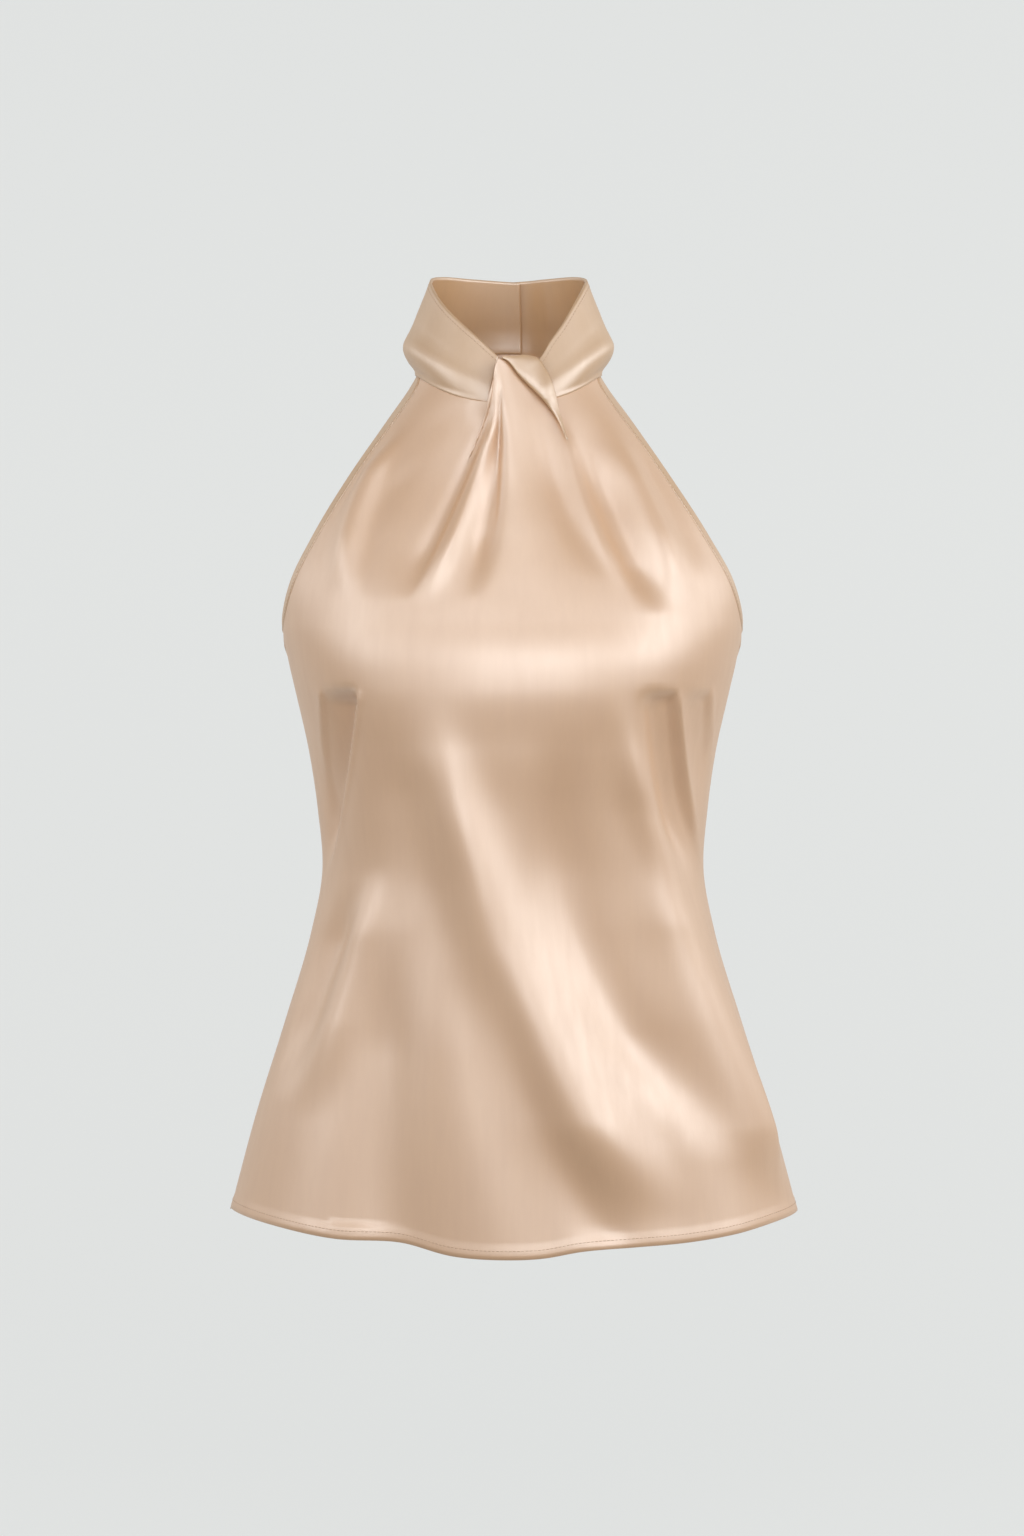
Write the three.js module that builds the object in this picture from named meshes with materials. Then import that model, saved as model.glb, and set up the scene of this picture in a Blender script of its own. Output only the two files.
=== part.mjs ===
// A sleeveless satin top with a halter neck: a high soft collar whose two halves meet in a twist
// at the front and lap at the centre back, a flared body, bound armholes and a narrow turned hem.
// Millimetres, +Z up, the front faces -Y. The origin is the centre of the neck, level with the
// collar seam at the sides of the neck.
import * as THREE from 'three';
import { mergeVertices } from 'three/addons/utils/BufferGeometryUtils.js';

// Cloth and seams
const CLOTH = 1.8;              // wall of a panel
const COLLAR_CLOTH = 2.4;       // wall of the doubled collar
const BINDING_CLOTH = 2.6;      // wall of the folded armhole binding
const SEAM_GAP = 0.3;           // space between two pieces that are sewn together
const BINDING_WIDTH = 9;
const BINDING_PROUD = 0.4;      // how far the binding stands out from the panel

// Places on the body
const UNDERARM_HEIGHT = -176;   // lowest point of the armhole
const NECK_SIDE_HEIGHT = -4;    // armhole's upper end, under the collar
const NECK_TILT = 0.37;         // rise of the neck seam, over its radius, from the side to the middle of the back
const HEM_HEIGHT = -597;        // at the side seams
const NECK_RADIUS = 66;         // of the neck seam, about
const LEAF_CLEARANCE = 1.1;     // between the twist's leaf and what lies under it

// How far the armhole is cut forward and back, seen from the side
const ARMHOLE = {
  front: { sweep: 83, neck: 12, inset: 0 },
  back: { sweep: 100, neck: 20, inset: 6 },
};

const ARMHOLE_EVENNESS = 0.25;  // how evenly points are spaced by height along the armhole

// Mesh counts
const FRONT_COLUMNS = 44;
const BACK_COLUMNS = 12;
const ARMHOLE_ROWS = 16;
const LOWER_ROWS = 25;
const BACK_ARMHOLE_ROWS = 10;
const BACK_LOWER_ROWS = 14;
const COLLAR_COLUMNS = 24;
const COLLAR_ROWS = 8;
const TWIST_ROWS = 16;
const TWIST_COLUMNS = 6;

const SATIN = { color: 0xd6b89e, roughness: 0.38, metalness: 0 };
const SATIN_TRIM = { color: 0xd0b095, roughness: 0.42, metalness: 0 };
const BUTTON_SATIN = { color: 0xcaa98c, roughness: 0.4, metalness: 0 };

// Turns rows of numbers into objects with the named columns.
function table(columns, rows) {
  return rows.map((row) => Object.fromEntries(columns.map((name, i) => [name, row[i]])));
}

// Level sections through the worn body, from the neck down. half is half the width seen from the
// front, front and back are the depths at the middle, power is how square the section is and
// middle is how far its centre stands off the centre of the neck.
const SECTIONS = table(['height', 'half', 'front', 'back', 'power', 'middle'], [
  [32, 58, 60, 61, 2, -1.8],
  [2, 64.4, 61.5, 66, 2, -1.8],
  [-10, 71, 63.5, 69, 2, -1.6],
  [-32, 86.2, 68.1, 75, 2.05, -1.2],
  [-75, 115.4, 79.9, 87, 2.15, -1.1],
  [-118, 142, 95.6, 95, 2.3, -0.2],
  [-150, 158.6, 107, 98.5, 2.4, 0.7],
  [-179, 164.8, 116.1, 100, 2.45, 1],
  [-205, 161, 123.3, 99, 2.5, 1],
  [-226, 156.2, 125.3, 97, 2.5, 1],
  [-269, 146.5, 121.5, 91, 2.4, 1],
  [-312, 140.2, 117.2, 84.5, 2.3, 1.2],
  [-356, 137.2, 115.7, 80.5, 2.2, 1.4],
  [-399, 145, 116.1, 83, 2.2, 1.4],
  [-464, 164.3, 119.6, 95, 2.2, 1.6],
  [-528, 184.5, 123.6, 108, 2.2, 1.8],
  [-600, 204, 127.8, 121, 2.2, 2],
  [-645, 216, 130.6, 128, 2.2, 2],
]);

// The hem of the front, from the left side seam to the right one: its drop below the side seams.
const FRONT_HEM = table(['share', 'drop'], [
  [-1, 0],
  [-0.83, 6],
  [-0.61, 12.5],
  [-0.38, 14.5],
  [-0.2, 22.5],
  [-0.04, 24.5],
  [0.1, 23.5],
  [0.22, 19.5],
  [0.41, 17],
  [0.61, 15],
  [0.76, 11],
  [0.9, 5.5],
  [1, 2],
]);

const BACK_HEM = table(['share', 'drop'], [
  [-1, 2],
  [-0.5, 7],
  [0, 9],
  [0.5, 6],
  [1, 0],
]);

// The top edge of the front where its cloth is drawn up into the twist: the share of the panel's
// width, the place across and the height. Outside these rows the edge follows the neck seam.
const TWIST_EDGE = table(['share', 'across', 'height'], [
  [-0.42, -12.4, -24.5],
  [-0.35, -8.4, 0],
  [-0.28, -6.2, 6],
  [-0.1, -3.2, 7],
  [0.05, 0, 5.5],
  [0.25, 7.5, -3],
  [0.42, 17, -13.5],
  [0.54, 27, -22],
]);

// Folds: three places on each (x and height), the width on each side of its line at its upper and
// lower end, and how far it stands out, or in where the number is negative. fadeIn and fadeOut
// are the shares of its length over which it comes and goes.
const FOLD_COLUMNS = ['x0', 'z0', 'x1', 'z1', 'x2', 'z2', 'wide0', 'wide2', 'rise', 'fadeIn', 'fadeOut'];

const FRONT_FOLDS = table(FOLD_COLUMNS, [
  // drawn up into the twist
  [-10, 12, -2, -60, 10, -175, 10.6, 31.1, 10.7, 0, 0.95],
  [-7.5, -26, -11.5, -82, -30, -166, 3.6, 8.5, -5, 0.2, 0.35],
  [-9.5, -28, -30, -94, -66, -170, 3.6, 9.5, 5.2, 0.2, 0.35],
  [-9, -22, -39.5, -94, -78, -168, 4, 9, -1.8, 0.2, 0.3],
  // down from the neck, beside the armholes
  [-61, -60, -91, -100, -102, -168, 7.9, 11.9, -1.1, 0.25, 0.35],
  [-75, -40, -106, -95, -117, -168, 6.8, 11.4, 7.2, 0.25, 0.4],
  [20, -28, 34, -90, 62, -152, 6, 10.5, -3, 0.5, 0.4],
  [38, -36, 56, -103, 89, -172, 4, 7.5, 2.8, 0.15, 0.35],
  [45, -30, 73, -105, 102, -176, 9, 13, -7, 0.5, 0.25],
  [66, -30, 99, -105, 121, -170, 8.3, 13.8, 6.4, 0.35, 0.4],
  [80, -44, 110, -95, 135, -150, 6.5, 8, -1.5, 0.3, 0.4],
  // over the bust
  [-70, -130, -63, -210, -68, -290, 44.5, 45.5, -2.7, 0.5, 0.5],
  [66, -130, 68, -210, 71, -290, 42.3, 42.5, 0.5, 0.5, 0.5],
  // the pockets under the bust
  [-121, -222, -129, -298, -139, -366, 11, 9, -5, 0.12, 0.35],
  [98, -224, 108, -296, 127, -366, 8.5, 8, -4.6, 0.14, 0.35],
  [126, -224, 130, -262, 134, -316, 7, 6, -2.5, 0.2, 0.4],
  // down the skirt
  [-60, -236, -14, -400, 89, -600, 17.7, 33.9, 12.6, 0.38, 0.2],
  [-50, -236, -29, -305, -2, -392, 12.5, 14.4, 3.4, 0.25, 0.45],
  [-14, -240, 15, -310, 48, -400, 18, 20, 0.4, 0.3, 0.45],
  [-92, -250, -67, -330, -42, -430, 17.8, 19.8, -2.1, 0.3, 0.4],
  [41, -250, 43, -374, 156, -560, 18, 27.1, -9, 0.35, 0.3],
  [76, -232, 88, -300, 116, -390, 9.5, 13, 6.4, 0.25, 0.45],
  [84, -310, 121, -420, 206, -590, 16.5, 24, 10.8, 0.3, 0.2],
  [-22, -370, 17, -513, 75, -624, 15.1, 17.8, -3.4, 0.4, 0.1],
  [-52, -390, -35, -513, -3, -624, 16.7, 32.2, 3.1, 0.4, 0],
  [-81, -390, -92, -513, -82, -624, 14.7, 28.4, -7.3, 0.4, 0],
  [-103, -300, -116, -430, -117, -600, 13.9, 23.7, -1.8, 0.4, 0],
  [-96, -350, -118, -440, -146, -530, 9.9, 15.3, 6.4, 0.3, 0.4],
  [-112, -360, -139, -440, -169, -520, 8.9, 11.9, -6.9, 0.3, 0.4],
  [59, -480, 109, -560, 124, -640, 18.4, 24.6, -3.4, 0.4, 0],
]);

const BACK_FOLDS = table(FOLD_COLUMNS, [
  [-30, 0, -52, -110, -78, -240, 12, 20, 4, 0.3, 0.5],
  [36, 4, 58, -100, 74, -225, 12, 18, 4, 0.3, 0.5],
  [-66, -60, -92, -140, -112, -225, 10, 14, -4, 0.4, 0.4],
  [82, -70, 104, -150, 120, -235, 10, 14, -4, 0.4, 0.4],
  [-92, -240, -74, -390, -98, -600, 14, 24, 7, 0.4, 0],
  [-44, -300, -38, -430, -58, -606, 14, 20, -6, 0.4, 0],
  [84, -250, 66, -400, 88, -600, 14, 26, 7.5, 0.4, 0],
  [34, -290, 30, -430, 44, -606, 12, 20, -6, 0.4, 0],
  [-128, -300, -132, -430, -152, -590, 12, 18, -5, 0.4, 0.1],
  [122, -310, 130, -440, 146, -590, 12, 18, -5, 0.4, 0.1],
]);

// The collar's side, from its seam up to its rim: how far it stands out from the seam.
const COLLAR_PROFILE = table(['share', 'out'], [
  [0, 1],
  [0.045, 1.3],
  [0.13, 5.6],
  [0.21, 8.6],
  [0.285, 9.9],
  [0.33, 9.7],
  [0.38, 8.4],
  [0.46, 5.5],
  [0.54, 2.9],
  [0.625, 0.6],
  [0.71, -1.8],
  [0.79, -4],
  [0.88, -6.4],
  [1, -9.4],
]);

// The collar's rim. Angles run from the front middle to the back middle, the right half of the
// picture being positive. swell is the share of the profile's outward curve that shows there.
const COLLAR_RIM = table(['angle', 'height', 'swell'], [
  [-190, 72.6, 0.1],
  [-150, 74.2, 0.15],
  [-115, 73.5, 0.7],
  [-90, 69.5, 1],
  [-70, 60.5, 0.85],
  [-43, 40.3, 0.35],
  [-19.5, 20.1, 0.12],
  [-5.6, 7.7, 0],
  [0, 4, -0.1],
  [14, 0, -0.1],
  [23.5, 9.3, 0.1],
  [30, 19.6, 0.15],
  [39, 31, 0.25],
  [52, 47.3, 0.5],
  [70, 62, 0.85],
  [90, 69.5, 1],
  [115, 73.5, 0.7],
  [150, 74.2, 0.15],
  [190, 72.6, 0.1],
]);

// Where each half of the collar starts at the front, at its seam and at its rim, and where it
// ends at the back, in degrees.
const COLLAR_HALVES = {
  left: { seamStart: -12.4, rimStart: -7.2, end: -188.5 },
  right: { seamStart: 26.5, rimStart: 19, end: 184.5 },
};
const LAP_START = 148;          // the right half begins to rise over the left one
const LAP_FULL = 167;

// The leaf of cloth that turns over the twist: both of its edges, from the point of the neckline
// down to its tip.
const TWIST_LEAF = table(['share', 'leftX', 'leftZ', 'rightX', 'rightZ', 'crown'], [
  [0, -4.2, 6.6, -3.2, 8.2, 0],
  [0.12, -0.7, 4.6, 3.9, 8.8, 1.2],
  [0.25, 2.9, 0.6, 12.7, 9.6, 2.2],
  [0.37, 7.1, -5.2, 21.2, 7.2, 3],
  [0.5, 14.1, -12.6, 27.2, -1.6, 3.2],
  [0.62, 20.8, -19.3, 30.7, -9.9, 3],
  [0.75, 27.4, -27.1, 33.5, -19.6, 2.4],
  [0.87, 34, -37, 36.4, -33.4, 1.4],
  [1, 40.2, -51, 41, -50, 0.3],
]);

// Buttons that close the lap at the centre back.
const BUTTON = { radius: 4.6, dome: 2.2, edge: 1.4, across: 2.2 };
const BUTTON_SHARES = { upper: 0.75, lower: 0.375 };

const clamp = (value, low, high) => Math.min(high, Math.max(low, value));
const radians = (angle) => angle * Math.PI / 180;
const degrees = (turn) => turn * 180 / Math.PI;

function ease(share) {
  const s = clamp(share, 0, 1);
  return s * s * (3 - 2 * s);
}

// A smooth curve through one column of a table, with the first column as its place.
function curve(rows, column) {
  const place = Object.keys(rows[0])[0];
  const points = rows.map((row) => [row[place], row[column]]).sort((a, b) => a[0] - b[0]);
  const last = points.length - 1;
  const rate = (i) => (points[i + 1][1] - points[i][1]) / (points[i + 1][0] - points[i][0]);
  const slopes = points.map((_, i) => {
    if (i === 0) return rate(0);
    if (i === last) return rate(last - 1);
    const before = points[i][0] - points[i - 1][0];
    const after = points[i + 1][0] - points[i][0];
    return (rate(i) * before + rate(i - 1) * after) / (before + after);
  });
  return (at) => {
    let i = 0;
    while (i < last - 1 && at > points[i + 1][0]) i += 1;
    const step = points[i + 1][0] - points[i][0];
    const t = clamp((at - points[i][0]) / step, 0, 1);
    const a = (2 * t - 3) * t * t + 1;
    const b = ((t - 2) * t + 1) * t * step;
    const c = (3 - 2 * t) * t * t;
    const d = (t - 1) * t * t * step;
    return a * points[i][1] + b * slopes[i] + c * points[i + 1][1] + d * slopes[i + 1];
  };
}

// Straight lines through one column of a table.
function ruled(rows, column) {
  const place = Object.keys(rows[0])[0];
  return (at) => {
    let i = 0;
    while (i < rows.length - 2 && at > rows[i + 1][place]) i += 1;
    const share = (at - rows[i][place]) / (rows[i + 1][place] - rows[i][place]);
    return THREE.MathUtils.lerp(rows[i][column], rows[i + 1][column], clamp(share, 0, 1));
  };
}

const section = {
  half: curve(SECTIONS, 'half'),
  front: curve(SECTIONS, 'front'),
  back: curve(SECTIONS, 'back'),
  power: curve(SECTIONS, 'power'),
  middle: curve(SECTIONS, 'middle'),
};
const hemDrop = { front: curve(FRONT_HEM, 'drop'), back: curve(BACK_HEM, 'drop') };
const collarOut = curve(COLLAR_PROFILE, 'out');
const collarRim = { height: curve(COLLAR_RIM, 'height'), swell: curve(COLLAR_RIM, 'swell') };

// Height of the neck seam at a depth, negative to the front. The seam is level at the sides.
function neckHeight(depth) {
  return (NECK_TILT * depth * Math.abs(depth)) / NECK_RADIUS;
}

// Share of the way from the underarm up to the neck.
function armholeShare(height) {
  return clamp((height - UNDERARM_HEIGHT) / (NECK_SIDE_HEIGHT - UNDERARM_HEIGHT), 0, 1);
}

// How far the armhole's edge lies in front of the side, or behind it.
function armholeDepth(face, height) {
  const { sweep, neck } = ARMHOLE[face];
  const share = armholeShare(height);
  return sweep * Math.sqrt(share) * (1 - share) + neck * share;
}

// Half the width of a panel at its armhole's edge.
function outlineHalf(face, height) {
  const share = armholeShare(height);
  return section.half(height) - ARMHOLE[face].inset * Math.sqrt(share) * (1 - 0.4 * share);
}

// Half the width of the whole section that the panel is a part of.
function reach(face, height) {
  const cut = armholeDepth(face, height) / section[face](height);
  return outlineHalf(face, height) / (1 - cut * cut) ** (1 / section.power(height));
}

// Depth of the section at a place across, before any fold.
function plainDepth(face, x, height) {
  const share = clamp(Math.abs(x) / reach(face, height), 0, 1);
  return section[face](height) * Math.sqrt(1 - share ** section.power(height));
}

// Place across at a given depth.
function acrossAt(face, depth, height) {
  const share = clamp(depth / section[face](height), 0, 1);
  return reach(face, height) * (1 - share * share) ** (1 / section.power(height));
}

// Height of one fold at a place on its panel.
function foldRise(fold, x, height) {
  const t = (fold.z0 - height) / (fold.z0 - fold.z2);
  if (t <= 0 || t >= 1) return 0;
  const m = (fold.z0 - fold.z1) / (fold.z0 - fold.z2);
  const line = fold.x0 * (t - m) * (t - 1) / m
    + fold.x1 * t * (t - 1) / (m * (m - 1))
    + fold.x2 * t * (t - m) / (1 - m);
  const steep = Math.hypot(fold.z2 - fold.z0, fold.x2 - fold.x0) / (fold.z0 - fold.z2);
  const wide = THREE.MathUtils.lerp(fold.wide0, fold.wide2, t) * steep;
  const away = (x - line) / wide;
  const coming = fold.fadeIn > 0 ? ease(t / fold.fadeIn) : 1;
  const going = fold.fadeOut > 0 ? ease((1 - t) / fold.fadeOut) : 1;
  return fold.rise * Math.exp(-away * away) * coming * going;
}

const foldsOf = { front: FRONT_FOLDS, back: BACK_FOLDS };

function foldSum(face, x, height) {
  return foldsOf[face].reduce((sum, fold) => sum + foldRise(fold, x, height), 0);
}

// A point of a panel's outer face. calm is 1 in the open cloth and 0 at a seam, where folds end.
function panelPoint(face, x, height, calm) {
  const facing = face === 'front' ? -1 : 1;
  const depth = plainDepth(face, x, height);
  const full = reach(face, height);
  const power = section.power(height);
  const nx = Math.sign(x) * power * (Math.abs(x) / full) ** (power - 1) / full;
  const ny = 2 * depth / section[face](height) ** 2;
  const size = Math.hypot(nx, ny) || 1;
  const rise = foldSum(face, x, height) * calm;
  return new THREE.Vector3(
    x + section.middle(height) + rise * nx / size,
    facing * (SEAM_GAP / 2 + depth + rise * ny / size),
    height,
  );
}

// The neck seam at an angle from the front: its distance from the neck's centre line.
function seamRadius(angle) {
  const dx = Math.sin(angle);
  const dy = -Math.cos(angle);
  const face = dy < 0 ? 'front' : 'back';
  let low = 40;
  let high = 100;
  for (let i = 0; i < 30; i += 1) {
    const r = (low + high) / 2;
    const height = neckHeight(r * dy);
    const x = (r * Math.abs(dx)) / reach(face, height);
    const y = (r * Math.abs(dy)) / section[face](height);
    if (x ** section.power(height) + y * y < 1) low = r;
    else high = r;
  }
  return (low + high) / 2;
}

// Height of the neck seam at a place across.
function seamHeight(face, x) {
  const facing = face === 'front' ? -1 : 1;
  let height = neckHeight(facing * section[face](0));
  for (let i = 0; i < 40; i += 1) height += (neckHeight(facing * plainDepth(face, x, height)) - height) / 2;
  return height;
}

// The armhole's edge and the edge of the panel inside its binding, from the neck (0) to the
// underarm (1), for the right side of the picture and before the section's middle is added.
function armholeEdge(face, share) {
  const facing = face === 'front' ? -1 : 1;
  const top = neckHeight(facing * ARMHOLE[face].neck) - SEAM_GAP;
  const down = ARMHOLE_EVENNESS * share + (1 - ARMHOLE_EVENNESS) * (1 - (1 - share) ** 2);
  const height = top + (UNDERARM_HEIGHT - top) * down;
  const depth = armholeDepth(face, height);
  return new THREE.Vector3(acrossAt(face, depth, height), facing * depth, height);
}

function surfaceNormal(face, x, height, depth) {
  const facing = face === 'front' ? -1 : 1;
  const full = reach(face, height);
  const power = section.power(height);
  const nx = power * (Math.abs(x) / full) ** (power - 1) / full;
  const ny = facing * 2 * depth / section[face](height) ** 2;
  return new THREE.Vector3(nx, ny, 0).normalize();
}

function bindingEdge(face, share, width) {
  const facing = face === 'front' ? -1 : 1;
  const edge = armholeEdge(face, share);
  const near = 0.004;
  const ahead = armholeEdge(face, Math.min(1, share + near));
  const behind = armholeEdge(face, Math.max(0, share - near));
  const along = share >= 1 ? new THREE.Vector3(0, -facing, 0) : ahead.sub(behind).normalize();
  const normal = surfaceNormal(face, edge.x, edge.z, Math.abs(edge.y));
  const inward = along.cross(normal).normalize().multiplyScalar(-facing);
  const point = edge.clone().addScaledVector(inward, width);
  const depth = Math.abs(point.y);
  const seam = neckHeight(facing * depth) - SEAM_GAP;
  const height = THREE.MathUtils.lerp(seam, point.z, ease(share / 0.2));
  return new THREE.Vector3(acrossAt(face, depth, height), facing * depth, height);
}

function bindingNormal(face, share) {
  const inner = bindingEdge(face, share, BINDING_WIDTH);
  const outer = armholeEdge(face, share);
  return surfaceNormal(face, inner.x, inner.z, Math.abs(inner.y))
    .add(surfaceNormal(face, outer.x, outer.z, Math.abs(outer.y))).normalize();
}

// The top edge of a panel at a share of its width.
function topEdge(face, share) {
  const corner = bindingEdge(face, 0, BINDING_WIDTH + 3 * SEAM_GAP).x;
  const knot = TWIST_EDGE;
  if (face === 'front' && share > knot[0].share && share < knot.at(-1).share) {
    return { x: ruled(knot, 'across')(share), z: ruled(knot, 'height')(share) };
  }
  let x = corner * share;
  if (face === 'front' && share <= knot[0].share) {
    x = THREE.MathUtils.mapLinear(share, -1, knot[0].share, -corner, knot[0].across);
  } else if (face === 'front') {
    x = THREE.MathUtils.mapLinear(share, knot.at(-1).share, 1, knot.at(-1).across, corner);
  }
  return { x, z: seamHeight(face, x) - SEAM_GAP };
}

// Closes a grid of outer points into a wall. The grid's rows run down and its columns run so
// that the outside is to the front of the grid. settle, where given, sets an inner point so that
// an edge meets the piece sewn to it face to face.
function wall(grid, thickness, settle) {
  const rows = grid.length;
  const columns = grid[0].length;
  const normals = grid.map((row) => row.map(() => new THREE.Vector3()));
  for (let j = 0; j < rows - 1; j += 1) {
    for (let i = 0; i < columns - 1; i += 1) {
      const across = grid[j + 1][i + 1].clone().sub(grid[j][i]);
      const down = grid[j + 1][i].clone().sub(grid[j][i + 1]);
      const normal = down.cross(across);
      for (const [a, b] of [[j, i], [j, i + 1], [j + 1, i], [j + 1, i + 1]]) normals[a][b].add(normal);
    }
  }
  const positions = [];
  for (const row of grid) for (const point of row) positions.push(...point.toArray());
  for (let j = 0; j < rows; j += 1) {
    for (let i = 0; i < columns; i += 1) {
      const inner = grid[j][i].clone().addScaledVector(normals[j][i].normalize(), -thickness);
      if (settle) settle(inner, grid[j][i], j, i);
      positions.push(...inner.toArray());
    }
  }
  const last = columns - 1;
  const outer = (j, i) => j * columns + i;
  const inner = (j, i) => rows * columns + outer(j, i);
  const faces = [];
  const quad = (a, b, c, d) => faces.push(a, b, c, a, c, d);
  for (let j = 0; j < rows - 1; j += 1) {
    for (let i = 0; i < columns - 1; i += 1) {
      quad(outer(j, i), outer(j + 1, i), outer(j + 1, i + 1), outer(j, i + 1));
      quad(inner(j, i), inner(j, i + 1), inner(j + 1, i + 1), inner(j + 1, i));
    }
  }
  for (let j = 0; j < rows - 1; j += 1) {
    quad(outer(j, 0), inner(j, 0), inner(j + 1, 0), outer(j + 1, 0));
    quad(outer(j, last), outer(j + 1, last), inner(j + 1, last), inner(j, last));
  }
  for (let i = 0; i < columns - 1; i += 1) {
    quad(outer(0, i), outer(0, i + 1), inner(0, i + 1), inner(0, i));
    quad(outer(rows - 1, i), inner(rows - 1, i), inner(rows - 1, i + 1), outer(rows - 1, i + 1));
  }
  return closed(positions, faces);
}

function closed(positions, faces) {
  const geometry = new THREE.BufferGeometry();
  geometry.setAttribute('position', new THREE.Float32BufferAttribute(positions, 3));
  geometry.setIndex(faces);
  const merged = mergeVertices(geometry, 1e-4);
  merged.computeVertexNormals();
  return merged;
}

function named(name, geometry, finish) {
  const mesh = new THREE.Mesh(geometry, new THREE.MeshStandardMaterial(finish));
  mesh.name = name;
  return mesh;
}

// One row of a panel: its height at the armhole or side, its half width and how far down the
// armhole it lies. Rows crowd towards the underarm, where the edge turns.
function panelRows(face, armholeRows, lowerRows) {
  const rows = [];
  for (let j = 0; j <= armholeRows; j += 1) {
    const share = j / armholeRows;
    const edge = bindingEdge(face, share, BINDING_WIDTH + SEAM_GAP * (3 - 2 * ease(share / 0.3)));
    rows.push({ armhole: true, half: edge.x, height: edge.z, normal: bindingNormal(face, share) });
  }
  for (let j = 1; j <= lowerRows; j += 1) rows.push({ armhole: false, down: j / lowerRows });
  return rows;
}

// Outer points of a panel at the given shares of its width, from one edge to the other.
function panelGrid(face, shares, rows) {
  const first = rows[0].height;
  const low = rows.filter((row) => row.armhole).at(-1).height;
  const lowHalf = rows.filter((row) => row.armhole).at(-1).half;
  return rows.map((row) => shares.map((share) => {
    const top = topEdge(face, share);
    let x;
    let height;
    if (row.armhole) {
      const down = (first - row.height) / (first - low);
      x = share * row.half + (top.x - share * rows[0].half) * (1 - down);
      height = row.height + (top.z - first) * (1 - down) ** 1.5;
    } else {
      const hem = HEM_HEIGHT - hemDrop[face](share);
      height = THREE.MathUtils.lerp(low, hem, row.down);
      const full = reach(face, height);
      x = share * THREE.MathUtils.lerp(lowHalf, full, clamp(row.down / 0.04, 0, 1));
    }
    const edge = 1 - Math.abs(share);
    const calm = ease(edge / 0.06);
    return panelPoint(face, x, height, calm);
  }));
}

// Shares of a panel's width, closer together where the section turns to the side.
function spacing(columns, from) {
  return Array.from({ length: columns + 1 }, (_, i) => {
    const s = from + (1 - from) * i / columns;
    return 0.35 * s + 0.65 * Math.sin(s * Math.PI / 2);
  });
}

// The inner point of a side edge: square to the side seam, or to the binding along the armhole.
function settleSide(inner, outer, row, facing) {
  if (!row.armhole) {
    inner.y = outer.y;
    return;
  }
  inner.copy(outer);
  inner.x -= facing * row.normal.x * CLOTH;
  inner.y -= row.normal.y * CLOTH;
}

function frontBody() {
  const rows = panelRows('front', ARMHOLE_ROWS, LOWER_ROWS);
  const grid = panelGrid('front', spacing(FRONT_COLUMNS, -1), rows);
  const settle = (inner, outer, j, i) => {
    if (i === 0) settleSide(inner, outer, rows[j], -1);
    if (i === FRONT_COLUMNS) settleSide(inner, outer, rows[j], 1);
  };
  return named('front_body', wall(grid, CLOTH, settle), SATIN);
}

// The back is cut in two, with a seam down the middle that is left open under the collar.
function backHalf(side) {
  const facing = side === 'left' ? -1 : 1;
  const rows = panelRows('back', BACK_ARMHOLE_ROWS, BACK_LOWER_ROWS);
  const grid = panelGrid('back', spacing(BACK_COLUMNS, 0).map((share) => facing * share), rows);
  for (const row of grid) row[0].x += facing * SEAM_GAP / 2;
  if (side === 'right') grid.forEach((row) => row.reverse());
  const middle = side === 'left' ? 0 : BACK_COLUMNS;
  const settle = (inner, outer, j, i) => {
    if (i === middle) inner.x = outer.x;
    if (i === BACK_COLUMNS - middle) settleSide(inner, outer, rows[j], facing);
  };
  return named(`back_${side}`, wall(grid, CLOTH, settle), SATIN);
}

// A point of the collar's outer face.
function collarPoint(angle, share) {
  const turn = radians(angle);
  const seam = seamRadius(turn);
  const low = neckHeight(-seam * Math.cos(turn));
  const lean = THREE.MathUtils.lerp(COLLAR_PROFILE[0].out, COLLAR_PROFILE.at(-1).out, share);
  const out = THREE.MathUtils.lerp(lean, collarOut(share), collarRim.swell(angle));
  const lap = ease((angle - LAP_START) / (LAP_FULL - LAP_START)) * (COLLAR_CLOTH + 3 * SEAM_GAP);
  const radius = seam + out + lap;
  const height = THREE.MathUtils.lerp(low, collarRim.height(angle), share);
  const middle = section.middle(height);
  return new THREE.Vector3(middle + radius * Math.sin(turn), -radius * Math.cos(turn), height);
}

function collarHalf(side) {
  const { seamStart, rimStart, end } = COLLAR_HALVES[side];
  const grid = [];
  for (let j = COLLAR_ROWS; j >= 0; j -= 1) {
    const row = [];
    const share = j / COLLAR_ROWS;
    const start = THREE.MathUtils.lerp(seamStart, rimStart, share);
    for (let i = 0; i <= COLLAR_COLUMNS; i += 1) {
      const angle = THREE.MathUtils.lerp(start, end, i / COLLAR_COLUMNS);
      row.push(collarPoint(angle, share));
    }
    grid.push(side === 'left' ? row.reverse() : row);
  }
  return named(`collar_${side}`, wall(grid, COLLAR_CLOTH), SATIN);
}

// Depth of whatever lies under the twist's leaf: the front's own folds or the collar.
function depthUnderLeaf(x, height) {
  const panel = plainDepth('front', x, height) + foldSum('front', x, height);
  const angle = degrees(Math.asin(clamp(x / NECK_RADIUS, -1, 1)));
  const turn = radians(angle);
  const low = neckHeight(-seamRadius(turn) * Math.cos(turn));
  const share = (height - low) / (collarRim.height(angle) - low);
  const collar = share > -0.1 ? -collarPoint(angle, clamp(share, 0, 1)).y : 0;
  return Math.max(panel, collar);
}

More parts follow.
